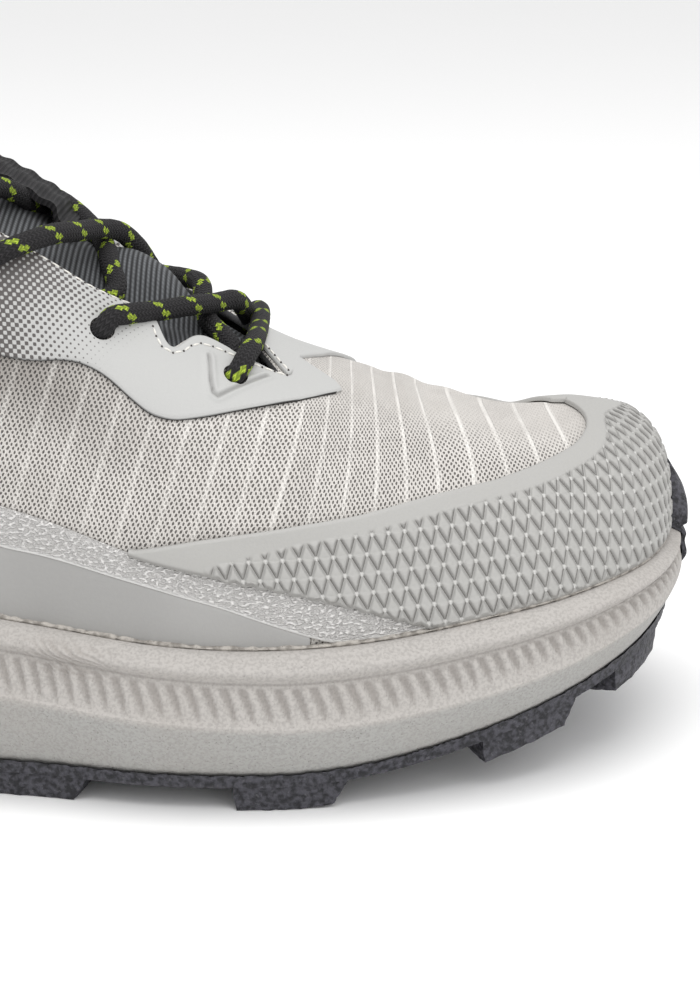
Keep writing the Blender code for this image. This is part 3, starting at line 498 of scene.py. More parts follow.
def edge_share(table, place, reach=0.12):
    """Overlay edge at a place: straight runs between table entries, rounded by a short average."""
    steps = np.linspace(-1, 1, 7)
    return np.mean([table_line(table, place + d * reach) for d in steps], axis=0)


def throat_edge(q):
    """Share at which knit and eyestay end at the throat, or at which the two sides meet ahead of it."""
    place = section_place(q)
    steps = (-0.012, 0.0, 0.012)
    lateral, medial = (np.mean([table_line(table, place + d) for d in steps], axis=0)
                       for table in (THROAT_EDGE, MEDIAL_EDGE))
    return np.where(on_medial(q), medial, lateral)


def above_rim(q):
    """Share just above the midsole's lip."""
    return share_at_height(q, rim_height(q) + 0.5)


def ripple(x, y, z, seed):
    """Smooth irregular value between about -1 and 1 from a few crossed waves."""
    turn = np.random.default_rng(seed).uniform(0, 2 * np.pi, 6)
    return (np.sin(x * 1.7 + turn[0]) * np.sin(y * 1.3 + turn[1]) + np.sin(x * 0.63 + z * 1.1 + turn[2])
            + np.sin(y * 0.71 - z * 0.9 + turn[3]) * np.sin(x * 2.9 + turn[4])) / 2


# Laying of meshes

def lay_grid(name, columns, rows, place):
    """A grid whose points, chart and marks come from place(u, w), with u and w from 0 to 1.

    place gives the points in millimetres, the chart's two lengths, and a dict of marks by name.
    """
    bpy.ops.object.select_all(action="DESELECT")
    bpy.ops.mesh.primitive_grid_add(x_subdivisions=columns, y_subdivisions=rows, size=1.0)
    piece = bpy.context.active_object
    piece.name = name
    mesh = piece.data
    mesh.name = name
    flat = np.empty(3 * len(mesh.vertices))
    mesh.vertices.foreach_get("co", flat)
    u, w = np.clip(flat.reshape(-1, 3)[:, :2].T + 0.5, 0, 1)
    points, chart, marks = place(u, w)
    mesh.vertices.foreach_set("co", ((points + ORIGIN) * MM).astype(np.float32).ravel())
    corners = np.empty(len(mesh.loops), np.int32)
    mesh.loops.foreach_get("vertex_index", corners)
    layer = mesh.uv_layers[0]
    layer.name = "chart"
    layer.uv.foreach_set("vector", np.stack(chart, -1)[corners].astype(np.float32).ravel())
    for mark, values in marks.items():
        attribute = mesh.attributes.new(mark, "FLOAT", "POINT")
        attribute.data.foreach_set("value", np.broadcast_to(values, u.shape).astype(np.float32).ravel())
    mesh.update()
    return piece


def select_only(piece):
    """Makes one piece the only selected and the active one."""
    bpy.ops.object.select_all(action="DESELECT")
    piece.select_set(True)
    bpy.context.view_layer.objects.active = piece


def weld(piece, distance=0.01):
    """Merges meeting edges and turns the faces outwards."""
    select_only(piece)
    bpy.ops.object.mode_set(mode="EDIT")
    bpy.ops.mesh.select_all(action="SELECT")
    bpy.ops.mesh.remove_doubles(threshold=distance * MM)
    bpy.ops.mesh.dissolve_degenerate(threshold=0.001 * MM)
    bpy.ops.mesh.select_all(action="SELECT")
    bpy.ops.mesh.normals_make_consistent(inside=False)
    bpy.ops.object.mode_set(mode="OBJECT")


def close_holes(piece):
    """Caps open ends and turns the faces outwards."""
    select_only(piece)
    bpy.ops.object.mode_set(mode="EDIT")
    bpy.ops.mesh.select_all(action="SELECT")
    bpy.ops.mesh.fill_holes(sides=0)
    bpy.ops.mesh.normals_make_consistent(inside=False)
    bpy.ops.object.mode_set(mode="OBJECT")


def drop_faces(piece, chosen):
    """Deletes the chosen faces."""
    select_only(piece)
    bpy.ops.object.mode_set(mode="EDIT")
    bpy.ops.mesh.select_mode(type="FACE")
    bpy.ops.mesh.select_all(action="DESELECT")
    bpy.ops.object.mode_set(mode="OBJECT")
    piece.data.polygons.foreach_set("select", chosen)
    bpy.ops.object.mode_set(mode="EDIT")
    bpy.ops.mesh.delete(type="FACE")
    bpy.ops.object.mode_set(mode="OBJECT")


def join_pieces(pieces, name):
    """Several pieces as one mesh."""
    select_only(pieces[0])
    for piece in pieces:
        piece.select_set(True)
    bpy.ops.object.join()
    pieces[0].name = name
    pieces[0].data.name = name
    return pieces[0]


def finish_piece(piece, materials, nodes=(), angle=50):
    """Gives a piece its finish and its place in the frame."""
    select_only(piece)
    bpy.ops.object.shade_smooth_by_angle(angle=math.radians(angle))
    chosen = [polygon.material_index for polygon in piece.data.polygons]
    piece.data.materials.clear()
    for material in materials:
        piece.data.materials.append(material)
    piece.data.polygons.foreach_set("material_index", np.minimum(chosen, len(materials) - 1))
    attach(piece, BODY)
    if nodes:
        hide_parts(*nodes)


def shell_rows(outer, inner):
    """Rows of a closed strip: share across and whether a row lies on the inner face."""
    shares = np.concatenate([np.linspace(0, 1, outer + 1), np.linspace(1, 0, inner + 1), [0.0]])
    inside = np.concatenate([np.zeros(outer + 1), np.ones(inner + 1), [0.0]])
    return shares, inside


def lay_shell(name, stations, outer, inner, low, high, reach, relief=None, marks=None, closed=None):
    """Closed overlay on the upper between two edge functions, from reach[0] to reach[1] off its face.

    relief adds to the outer face by place, share and length from the lower edge. Where closed is true
    the top edges of the two sides meet on the ridge and are joined.
    """
    shares, inside = shell_rows(outer, inner)
    rows = len(shares) - 1

    def place(u, w):
        q = np.interp(u, np.linspace(0, 1, len(stations)), stations)
        index = np.rint(w * rows).astype(int)
        share, within = shares[index], inside[index]
        bottom, top = low(q), high(q)
        v = bottom + (top - bottom) * share
        up = arc_up(q, v)
        start = arc_up(q, bottom)
        height = up - start
        span = arc_up(q, top) - start
        from_top = span - height
        if closed:
            from_top = np.where(closed(q), height, from_top)
        rim = np.minimum(height, from_top)
        outside = reach[1] - 0.3 * (1 - ease(rim, 0.0, 0.7))
        if relief:
            outside = outside + relief(q, v, height, span)
        offset = np.where(within > 0.5, reach[0], outside)
        extra = marks(q, v, height, span) if marks else {}
        return upper_surface(q, v, offset), (arc_along(q), up), extra

    piece = lay_grid(name, len(stations) - 1, rows, place)
    if closed:
        corners = np.array([polygon.vertices[:] for polygon in piece.data.polygons])
        row = corners // len(stations)
        meeting = closed(stations)[corners % len(stations)]
        drop_faces(piece, np.all((row >= outer) & (row <= outer + 1) & meeting, axis=1))
    weld(piece)
    close_holes(piece)
    return piece


# Materials

def feed(tree, socket, value):
    """Links a socket's value or sets a plain one."""
    if isinstance(value, bpy.types.NodeSocket):
        tree.links.new(value, socket)
    elif hasattr(socket.default_value, "__len__") and len(value) == 3 and len(socket.default_value) == 4:
        socket.default_value = (*value, 1.0)
    else:
        socket.default_value = value


def calc(tree, operation, first, second=0.0, third=0.0):
    """One step of arithmetic."""
    node = tree.nodes.new("ShaderNodeMath")
    node.operation = operation
    for socket, value in zip(node.inputs, (first, second, third)):
        feed(tree, socket, value)
    return node.outputs[0]


def plus(tree, first, second):
    return calc(tree, "ADD", first, second)


def minus(tree, first, second):
    return calc(tree, "SUBTRACT", first, second)


def times(tree, first, second):
    return calc(tree, "MULTIPLY", first, second)


def times_plus(tree, first, second, third):
    """First times second, plus third."""
    return calc(tree, "MULTIPLY_ADD", first, second, third)


def ramp(tree, value, low, high, start=0.0, end=1.0):
    """Smooth step from start below low to end above high."""
    node = tree.nodes.new("ShaderNodeMapRange")
    node.interpolation_type = "SMOOTHSTEP"
    names = ("Value", "From Min", "From Max", "To Min", "To Max")
    for name, given in zip(names, (value, low, high, start, end)):
        feed(tree, node.inputs[name], given)
    return node.outputs[0]


def ribs(tree, length, pitch):
    """Wave between 0 and 1 with a pitch in millimetres."""
    return times_plus(tree, calc(tree, "SINE", times(tree, length, 2 * math.pi / pitch)), 0.5, 0.5)


def tint(tree, share, first, second):
    """Colour between two others."""
    node = tree.nodes.new("ShaderNodeMix")
    node.data_type = "RGBA"
    feed(tree, node.inputs[0], share)
    feed(tree, node.inputs[6], first)
    feed(tree, node.inputs[7], second)
    return node.outputs[2]


def stain(tree, colour, mask, amount, other):
    """Colour with an amount of another where the mask is."""
    return tint(tree, times(tree, mask, amount), colour, other)


def mark_value(tree, name):
    """One of the marks that lay_grid stores on a mesh."""
    node = tree.nodes.new("ShaderNodeAttribute")
    node.attribute_name = name
    return node.outputs["Fac"]


def chart_lengths(tree):
    """The chart's two lengths in millimetres, and both as a vector."""
    chart = tree.nodes.new("ShaderNodeUVMap")
    chart.uv_map = "chart"
    parts = tree.nodes.new("ShaderNodeSeparateXYZ")
    tree.links.new(chart.outputs["UV"], parts.inputs[0])
    return parts.outputs["X"], parts.outputs["Y"], chart.outputs["UV"]


def noise(tree, vector, scale, detail=2.0):
    """Soft noise between 0 and 1."""
    node = tree.nodes.new("ShaderNodeTexNoise")
    feed(tree, node.inputs["Vector"], vector)
    feed(tree, node.inputs["Scale"], scale)
    feed(tree, node.inputs["Detail"], detail)
    return node.outputs["Fac"]


def grain_group():
    """Shared effect: fine grain, broad mottling and sparse specks from the object's own coordinates."""
    name = "fine_grain"
    if name in bpy.data.node_groups:
        return bpy.data.node_groups[name]
    tree = bpy.data.node_groups.new(name, "ShaderNodeTree")
    tree.interface.new_socket("Grain Scale", in_out="INPUT", socket_type="NodeSocketFloat")
    tree.interface.new_socket("Mottle Scale", in_out="INPUT", socket_type="NodeSocketFloat")
    for output in ("Grain", "Mottle", "Specks"):
        tree.interface.new_socket(output, in_out="OUTPUT", socket_type="NodeSocketFloat")
    given = tree.nodes.new("NodeGroupInput")
    result = tree.nodes.new("NodeGroupOutput")
    vector = tree.nodes.new("ShaderNodeTexCoord").outputs["Object"]
    grain = noise(tree, vector, given.outputs["Grain Scale"], 3.0)
    mottle = noise(tree, vector, given.outputs["Mottle Scale"], 2.0)
    fine = noise(tree, vector, times(tree, given.outputs["Grain Scale"], 1.7), 1.0)
    tree.links.new(grain, result.inputs["Grain"])
    tree.links.new(mottle, result.inputs["Mottle"])
    tree.links.new(ramp(tree, fine, 0.66, 0.74), result.inputs["Specks"])
    return tree


def grain(tree, fine, broad):
    """Fine grain, broad mottling and specks at scales of a material's own."""
    node = tree.nodes.new("ShaderNodeGroup")
    node.node_tree = grain_group()
    node.inputs["Grain Scale"].default_value = fine
    node.inputs["Mottle Scale"].default_value = broad
    return node.outputs["Grain"], node.outputs["Mottle"], node.outputs["Specks"]


def new_material(name, roughness, sheen=0.0):
    """A material with its node tree and shader."""
    material = bpy.data.materials.new(name)
    material.use_nodes = True
    tree = material.node_tree
    shader = tree.nodes["Principled BSDF"]
    shader.inputs["Roughness"].default_value = roughness
    shader.inputs["Sheen Weight"].default_value = sheen
    shader.inputs["Specular IOR Level"].default_value = 0.4
    return material, tree, shader


def relief(tree, shader, height, depth):
    """Bump of a depth in millimetres from a height between 0 and 1."""
    node = tree.nodes.new("ShaderNodeBump")
    node.inputs["Strength"].default_value = 1.0
    node.inputs["Distance"].default_value = depth * MM
    feed(tree, node.inputs["Height"], height)
    tree.links.new(node.outputs["Normal"], shader.inputs["Normal"])


def knit_material(sizes, colours):
    """Open knit: pale strands with staggered dark pores, pale stripes, calmer near the ridge."""
    material, tree, shader = new_material("knit", 0.9, sheen=0.15)
    s, t, chart = chart_lengths(tree)
    tone = mark_value(tree, "tone")
    calm = mark_value(tree, "calm")
    wobble = times(tree, minus(tree, noise(tree, chart, 0.9, 1.0), 0.5), 0.5)
    column = times(tree, plus(tree, s, wobble), 2 * math.pi / (sizes.stitch_width / MM))
    course = times(tree, plus(tree, t, wobble), math.pi / (sizes.stitch_height / MM))
    lattice = times(tree, calc(tree, "COSINE", column), calc(tree, "COSINE", course))
    strand = times_plus(tree, calc(tree, "COSINE", times(tree, column, 2.0)), 0.5, 0.5)
    pore = ramp(tree, lattice, -0.05, 0.7, 0.0, 0.88)
    worn = ramp(tree, noise(tree, chart, 0.16, 1.0), 0.36, 0.6, 0.55, 1.0)
    stripe = ramp(tree, calc(tree, "PINGPONG", s, sizes.stripe_pitch / MM / 2), 0.2, 0.7, 1.0, 0.0)
    stripe = times(tree, stripe, times(tree, mark_value(tree, "stripe"), worn))
    pore = times(tree, pore, times_plus(tree, stripe, -0.75, 1.0))
    pore = times(tree, pore, times_plus(tree, calm, -0.86, 1.0))
    dim = srgb(128, 123, 118)
    yarn = stain(tree, colours.knit, minus(tree, 1.0, tone), 0.85, dim)
    yarn = tint(tree, ramp(tree, noise(tree, chart, 0.12, 2.0), 0.35, 0.65, 0.0, 0.12), yarn, dim)
    yarn = stain(tree, yarn, strand, times_plus(tree, calm, -0.2, 0.3), dim)
    yarn = stain(tree, yarn, calm, 0.32, dim)
    yarn = stain(tree, yarn, stripe, 0.6, colours.stripe)
    gap = tint(tree, tone, srgb(34, 31, 29), srgb(60, 55, 52))
    feed(tree, shader.inputs["Base Color"], tint(tree, pore, yarn, gap))
    relief(tree, shader, minus(tree, stripe, times_plus(tree, strand, 0.3, pore)), 0.2)
    return material


def lining_material(colours):
    """Dark brushed lining."""
    material, tree, shader = new_material("lining", 0.95, sheen=0.3)
    fine, broad, _ = grain(tree, 1400.0, 90.0)
    colour = stain(tree, colours.lining, fine, 0.5, srgb(96, 96, 98))
    feed(tree, shader.inputs["Base Color"], stain(tree, colour, broad, 0.3, srgb(40, 40, 42)))
    relief(tree, shader, fine, 0.25)
    return material


def eyestay_material(sizes, colours):
    """Satin film with a printed fade of dots, painted shade at the cut edge and along a pressed line."""
    material, tree, shader = new_material("eyestay_film", 0.5)
    s, t, _ = chart_lengths(tree)
    wave = math.pi * math.sqrt(2) / (sizes.dot_pitch / MM)
    waves = [calc(tree, "COSINE", times(tree, length, wave)) for length in (s, t)]
    lattice = times(tree, *waves)
    level = times_plus(tree, mark_value(tree, "dots"), -2.0, 1.0)
    printed = ramp(tree, minus(tree, lattice, level), -0.2, 0.2)
    fine, _, _ = grain(tree, 2600.0, 60.0)
    film = stain(tree, colours.film, fine, 0.25, srgb(168, 168, 168))
    film = stain(tree, film, printed, 0.95, srgb(76, 71, 70))
    # Painted shade along the pressed line, standing in for the shadow of its step.
    film = stain(tree, film, mark_value(tree, "line"), 0.5, srgb(96, 94, 92))
    # Painted shade on the film's cut edge: the band near the lower edge is painted near black.
    feed(tree, shader.inputs["Base Color"], tint(tree, mark_value(tree, "edge"), film, srgb(34, 32, 32)))
    feed(tree, shader.inputs["Roughness"], times_plus(tree, fine, 0.2, 0.4))
    relief(tree, shader, times_plus(tree, printed, -0.5, fine), 0.05)
    return material


def cap_material(sizes, colours):
    """Moulded film of the toe cap: pale faces, painted shade on lower walls, painted highlights where
    lozenges meet.
    """
    material, tree, shader = new_material("toe_cap_film", 0.5)
    fine, broad, _ = grain(tree, 2200.0, 55.0)
    width, height = sizes.lozenge_width / MM, sizes.lozenge_height / MM
    inside = mark_value(tree, "moulded")
    across = calc(tree, "DIVIDE", mark_value(tree, "along"), width)
    upward = calc(tree, "DIVIDE", mark_value(tree, "up"), height)
    far, below, meeting = [], [], []
    for shift in (10.0, 10.5):
        side = minus(tree, calc(tree, "FRACT", plus(tree, across, shift)), 0.5)
        rise = minus(tree, calc(tree, "FRACT", plus(tree, upward, shift)), 0.5)
        side = calc(tree, "ABSOLUTE", side)
        far.append(times(tree, plus(tree, side, calc(tree, "ABSOLUTE", rise)), 2.0))
        below.append(calc(tree, "LESS_THAN", rise, 0.0))
        beside = times(tree, minus(tree, 0.5, side), width)
        over = times(tree, rise, height)
        meeting.append(plus(tree, times(tree, beside, beside), times(tree, over, over)))
    first = calc(tree, "LESS_THAN", far[0], far[1])
    lower = plus(tree, times(tree, first, below[0]), times(tree, minus(tree, 1.0, first), below[1]))
    nearest = calc(tree, "MINIMUM", *far)
    # Painted shade on the lower walls of each lozenge: sharp near the edge, soft across the lower half.
    edge = times(tree, ramp(tree, nearest, 0.72, 0.95), times_plus(tree, lower, 0.8, 0.2))
    soft = times(tree, ramp(tree, nearest, 0.3, 0.95), times(tree, lower, 0.35))
    wall = times(tree, calc(tree, "MAXIMUM", edge, soft), inside)
    # Painted highlights on the raised points where four lozenges meet.
    point = times(tree, ramp(tree, calc(tree, "MINIMUM", *meeting), 0.05, 0.3, 1.0, 0.0), inside)
    film = stain(tree, colours.cap, fine, 0.35, srgb(152, 151, 149))
    film = stain(tree, film, broad, 0.25, srgb(158, 156, 152))
    # Painted shade on the lozenges' lower walls.
    film = stain(tree, film, wall, 0.75, srgb(80, 77, 74))
    # Painted shade along the cap's lower edge.
    film = stain(tree, film, mark_value(tree, "rim"), 0.5, srgb(104, 102, 99))
    # Painted highlights on those meeting points.
    feed(tree, shader.inputs["Base Color"], stain(tree, film, point, 0.7, srgb(214, 213, 210)))
    feed(tree, shader.inputs["Roughness"], times_plus(tree, fine, 0.25, 0.38))
    face = times(tree, ramp(tree, nearest, 0.6, 1.0, 1.0, 0.0), inside)
    relief(tree, shader, times_plus(tree, fine, 0.2, face), 0.25)
    return material


def band_material(colours):
    """Grey film with fine leather-like wrinkles, painted shade in their hollows, and a bright lower edge."""
    material, tree, shader = new_material("side_band_film", 0.6)
    _, _, chart = chart_lengths(tree)
    edge = mark_value(tree, "edge")
    stretched = tree.nodes.new("ShaderNodeMapping")
    feed(tree, stretched.inputs["Vector"], chart)
    stretched.inputs["Rotation"].default_value = (0.0, 0.0, math.radians(-18))
    stretched.inputs["Scale"].default_value = (1.05, 1.9, 1.0)
    folds_and_shade = ramp(tree, noise(tree, stretched.outputs["Vector"], 1.0, 2.0), 0.36, 0.64)
    folds_and_shade = times(tree, folds_and_shade, minus(tree, 1.0, edge))
    # Darker where the wrinkles dip: painted shade in their hollows.
    colour = tint(tree, folds_and_shade, srgb(176, 174, 172), colours.band)
    feed(tree, shader.inputs["Base Color"], tint(tree, edge, colour, srgb(212, 211, 209)))
    relief(tree, shader, folds_and_shade, 0.42)
    return material


def rand_material(colours):
    """Smooth film with faint mottling."""
    material, tree, shader = new_material("rand_film", 0.55)
    fine, broad, _ = grain(tree, 1500.0, 35.0)
    colour = stain(tree, colours.rand, fine, 0.3, srgb(138, 137, 136))
    colour = tint(tree, ramp(tree, broad, 0.4, 0.7, 0.0, 0.25), colour, srgb(172, 171, 169))
    feed(tree, shader.inputs["Base Color"], colour)
    feed(tree, shader.inputs["Roughness"], times_plus(tree, broad, 0.3, 0.38))
    relief(tree, shader, fine, 0.05)
    return material


def foam_material(colours):
    """Moulded foam: pale bead and ledge, painted shade in wedge-shaped flutes and groove, greyer grainy flank
    below.
    """
    material, tree, shader = new_material("foam", 0.75)
    level = mark_value(tree, "level")
    s, t, chart = chart_lengths(tree)
    fine, broad, specks = grain(tree, 1700.0, 50.0)
    low = ramp(tree, level, 0.25, 0.31, 1.0, 0.0)
    colour = tint(tree, low, colours.foam, srgb(163, 162, 159))
    # Painted shade in the flutes.
    colour = stain(tree, colour, mark_value(tree, "flute_and_shade"), 0.5, srgb(112, 106, 101))
    # Painted shade along the groove under the bead.
    beside = calc(tree, "ABSOLUTE", minus(tree, level, GROOVE / LIP))
    colour = tint(tree, ramp(tree, beside, 0.004, 0.03, 0.3, 0.0), colour, srgb(110, 104, 99))
    colour = tint(tree, ramp(tree, fine, 0.42, 0.62, 0.0, 0.3), colour, srgb(122, 119, 115))
    colour = stain(tree, colour, specks, times_plus(tree, low, 0.35, 0.3), srgb(96, 93, 89))
    colour = tint(tree, ramp(tree, broad, 0.4, 0.75, 0.0, 0.25), colour, srgb(158, 152, 146))
    swirl = times(tree, plus(tree, s, times(tree, noise(tree, chart, 0.12, 1.0), 9.0)), 2.6)
    lines = calc(tree, "SINE", times_plus(tree, t, 5.2, swirl))
    lines = times(tree, times_plus(tree, lines, 0.5, 0.5), mark_value(tree, "print"))
    feed(tree, shader.inputs["Base Color"], stain(tree, colour, lines, 0.35, srgb(136, 128, 122)))
    relief(tree, shader, minus(tree, times(tree, fine, times_plus(tree, low, 0.6, 0.35)), lines), 0.2)
    return material


def glue_material():
    """Dull glue with grit in it."""
    material, tree, shader = new_material("glue", 0.6)
    fine, broad, specks = grain(tree, 1300.0, 700.0)
    colour = tint(tree, ramp(tree, broad, 0.35, 0.6), srgb(132, 127, 121), srgb(176, 171, 164))
    feed(tree, shader.inputs["Base Color"], stain(tree, colour, specks, 0.5, srgb(84, 78, 74)))
    relief(tree, shader, fine, 0.3)
    return material


def rubber_material(colours):
    """Charcoal rubber with a coarse moulded grain and a few pale scuffs."""
    material, tree, shader = new_material("rubber", 0.6)
    fine, _, specks = grain(tree, 900.0, 70.0)
    colour = tint(tree, ramp(tree, fine, 0.35, 0.65), srgb(22, 22, 25), srgb(80, 79, 86))
    colour = stain(tree, colour, specks, 0.35, srgb(120, 119, 122))
    feed(tree, shader.inputs["Base Color"], tint(tree, 0.3, colour, colours.rubber))
    feed(tree, shader.inputs["Roughness"], times_plus(tree, fine, 0.3, 0.42))
    relief(tree, shader, fine, 0.8)
    return material


def webbing_material(colours):
    """Ribbed webbing: fine ribs across the tongue with a small weave on each rib."""
    material, tree, shader = new_material("webbing", 0.85, sheen=0.05)
    s, t, chart = chart_lengths(tree)
    weave = times(tree, ribs(tree, s, 0.85), times_plus(tree, ribs(tree, t, 0.7), 0.3, 0.7))
    pale = times(tree, weave, times_plus(tree, noise(tree, chart, 0.35, 2.0), 0.8, 0.6))
    feed(tree, shader.inputs["Base Color"], tint(tree, pale, srgb(26, 27, 29), colours.webbing))
    relief(tree, shader, weave, 0.25)
    return material


def strap_material(colours):
    """Dark narrow webbing with fine ribs."""
    material, tree, shader = new_material("strap", 0.8)
    s, _, chart = chart_lengths(tree)
    rib = ribs(tree, s, 0.9)
    pale = times(tree, rib, ramp(tree, noise(tree, chart, 0.5, 2.0), 0.3, 0.7, 0.4, 1.0))
    feed(tree, shader.inputs["Base Color"], tint(tree, pale, srgb(14, 14, 16), colours.cord))
    relief(tree, shader, rib, 0.3)
    return material


def cord_material(colours):
    """Round braid of chevron columns, with a helix of bright double flecks."""
    material, tree, shader = new_material("braid", 0.8)
    s, t, _ = chart_lengths(tree)
    columns, course, girth, lead, flecks = 12.0, 0.95, 13.8, 9.0, 6.0
    column = calc(tree, "PINGPONG", times(tree, t, columns), 0.5)
    along = times_plus(tree, column, 1.3, calc(tree, "DIVIDE", s, course))
    weave = times_plus(tree, calc(tree, "COSINE", times(tree, along, 2 * math.pi)), 0.5, 0.5)
    weave = times(tree, weave, ramp(tree, column, 0.0, 0.14, 0.35, 1.0))
    nearest = calc(tree, "DIVIDE", calc(tree, "ROUND", times(tree, t, flecks)), flecks)
    turns = minus(tree, calc(tree, "DIVIDE", s, lead), nearest)
    forward = times(tree, minus(tree, calc(tree, "FRACT", plus(tree, turns, 10.5)), 0.5), lead)
    aside = times(tree, minus(tree, t, nearest), girth)
    lobes = []
    for shift in (-1, 1):
        ahead = calc(tree, "ABSOLUTE", plus(tree, forward, 0.5 * shift))
        beside = calc(tree, "ABSOLUTE", plus(tree, aside, 0.2 * shift))
        lobes.append(plus(tree, calc(tree, "DIVIDE", ahead, 0.85), calc(tree, "DIVIDE", beside, 0.95)))
    fleck = ramp(tree, calc(tree, "MINIMUM", *lobes), 0.75, 1.05, 1.0, 0.0)
    colour = tint(tree, weave, srgb(10, 9, 11), colours.cord)
    bright = tint(tree, weave, srgb(112, 130, 34), colours.fleck)
    feed(tree, shader.inputs["Base Color"], tint(tree, fleck, colour, bright))
    relief(tree, shader, plus(tree, weave, times(tree, fleck, 0.4)), 0.3)
    return material


def thread_material():
    """Pale sewing thread."""
    material, tree, shader = new_material("thread", 0.7, sheen=0.2)
    fine, _, _ = grain(tree, 3000.0, 400.0)
    feed(tree, shader.inputs["Base Color"], tint(tree, fine, srgb(246, 244, 238), srgb(206, 202, 194)))
    relief(tree, shader, fine, 0.1)
    return material


def hole_material():
    """Shaded needle holes."""
    material, tree, shader = new_material("needle_hole", 0.9)
    fine, _, _ = grain(tree, 3000.0, 400.0)
    feed(tree, shader.inputs["Base Color"], tint(tree, fine, srgb(48, 44, 42), srgb(88, 82, 78)))
    return material


def floor_material(colours):
    """Plain pale floor."""
    material, tree, shader = new_material("floor", 0.85)
    _, broad, _ = grain(tree, 40.0, 1.2)
    pale = tuple(0.985 * channel for channel in colours.floor)
    feed(tree, shader.inputs["Base Color"], tint(tree, broad, colours.floor, pale))
    return material


# Pieces

def loop_stations(dense_from, dense_to, wide, narrow):
    """Loop places round the shoe, closer together beside the throat and alike on both sides."""
    places = [0.0]
    while places[-1] < LAST:
        places.append(places[-1] + (narrow if dense_from <= places[-1] < dense_to else wide))
    half = np.array(places[:-1] + [float(LAST)])
    return np.concatenate([half, LOOP - half[-2::-1]])


def padding(q, v):
    """Thickness of the upper's wall: thin knit, padded round the collar."""
    points = upper_surface(q, v)
    back = np.interp(points[:, 0] / LENGTH, (0.30, 0.42), (1.0, 0.0))
    high = np.interp(points[:, 2], (58.0, 76.0, 96.0, 110.0), (0.0, 1.0, 1.0, 0.8))
    return UPPER_WALL + (COLLAR_PADDING - UPPER_WALL) * back * high


def knit_chart(q, v, points):
    """Lengths along the knit: across the stripes and up the wales."""
    x, z = points[:, 0], points[:, 2]
    place = section_place(q)
    side = np.where(on_medial(q), LOOP - INSTEP, INSTEP)
    rounded = upper_surface(side, v)[:, 0] + arc_along(place) - arc_along(INSTEP)
    x = np.where(place < INSTEP, rounded, x)
    lean = np.interp(x, (150.0, 218.0, 242.0, 300.0), (0.31, 0.31, -0.04, -0.08))
    back = 3.6 * ease(np.minimum(v, 2 - v), 0.5, 1.0) * ease(x, 215, 245)
    return x - lean * (z - 45) + back, arc_up(q, v)


def crease(q, v):
    """Soft troughs where the forefoot bends, and slack of the knit under the eyestay."""
    place = section_place(q)
    v = np.minimum(v, 2 - v)
    depth = 0.0 * place
    for centre, width, lean, amount in CREASES:
        line = centre + lean * (v - 0.75)
        depth = depth - amount * np.exp(-((place - line) / width) ** 2) * ease(v, 0.35, 0.7)
        depth = depth + 0.5 * amount * np.exp(-((place - line - 2 * width) / width) ** 2) * ease(v, 0.35, 0.7)
    return depth


def make_upper(sizes, colours):
    """Knitted upper with a padded, lined collar: outer face, rolled edge, lined inner face."""
    outer, roll, inner = 58, 6, 14
    kinds = np.concatenate([np.zeros(outer + 1), np.ones(roll), np.full(inner, 2)])
    steps = np.concatenate([np.linspace(0, 1, outer + 1), np.linspace(0, 1, roll + 1)[1:],
                            np.linspace(1, 0, inner + 1)[1:]])
    stations = loop_stations(7.0, 8.4, 0.05, 0.014)
    rows = len(kinds) - 1

    def place(u, w):
        q = np.interp(u, np.linspace(0, 1, len(stations)), stations)
        index = np.rint(w * rows).astype(int)
        kind, step = kinds[index], steps[index]
        v = throat_edge(q) * np.where(kind == 1, 1.0, step)
        points = upper_surface(q, v)
        normal = upper_normal(q, v)
        wall = padding(q, v)
        rise = points - upper_surface(q, np.maximum(v - 0.02, 0))
        rise /= np.linalg.norm(rise, axis=-1, keepdims=True) + 1e-9
        turn = np.pi * step
        half = wall[:, None] / 2
        around = normal * np.cos(turn)[:, None] + rise * np.sin(turn)[:, None]
        rolled = points - normal * half + half * around
        straight = points - normal * (wall * step)[:, None]
        rolled = np.where((section_place(q) >= CLOSED)[:, None], straight, rolled)
        lined = points - normal * wall[:, None]
        face = points + normal * np.where(kind == 0, crease(q, v), 0.0)[:, None]
        placed = np.where((kind == 0)[:, None], face, np.where((kind == 1)[:, None], rolled, lined))
        placed[:, 2] += SEAT_GAP * np.clip(1 - v, 0, 1)
        x = points[:, 0]
        marks = {
            "tone": 1 - 0.9 * ease(v, 0.33, 0.50) * (1 - ease(x, 160, 202)),
            "calm": ease(np.minimum(v, 2 - v), 0.60, 0.85) * ease(x, 200, 235),
            "stripe": np.interp(x, (150, 175, 215, 240), (0.35, 0.5, 0.8, 1.0)),
        }
        along, up = knit_chart(q, v, points)
        return placed, (along, up + np.where(kind == 1, turn * wall / 2, 0.0)), marks

    piece = lay_grid("upper_knit", len(stations) - 1, rows, place)
    mesh = piece.data
    corners = np.array([polygon.vertices[:] for polygon in mesh.polygons])
    row = corners // len(stations)
    place_of = section_place(stations[corners % len(stations)])
    mesh.polygons.foreach_set("material_index", (row.min(axis=1) >= outer + 2).astype(np.int32))
    drop_faces(piece, np.all((row >= outer) & (row <= outer + roll) & (place_of >= CLOSED), axis=1))
    weld(piece)
    finish_piece(piece, (knit_material(sizes, colours), lining_material(colours)), ("upper",), 60)


def lozenge(s, t, sizes):
    """Distance from a lozenge's middle, 1 on its edge, and whether the point lies in its lower half."""
    width, height = sizes.lozenge_width / MM, sizes.lozenge_height / MM
    best = np.full(np.shape(s), 9.0)
    lower = np.zeros(np.shape(s))
    for shift in (0.0, 0.5):
        across = np.mod(s / width + shift, 1.0) - 0.5
        up = np.mod(t / height + shift, 1.0) - 0.5
        far = 2 * np.abs(across) + 2 * np.abs(up)
        lower = np.where(far < best, up < 0, lower)
        best = np.minimum(far, best)
    return best, lower


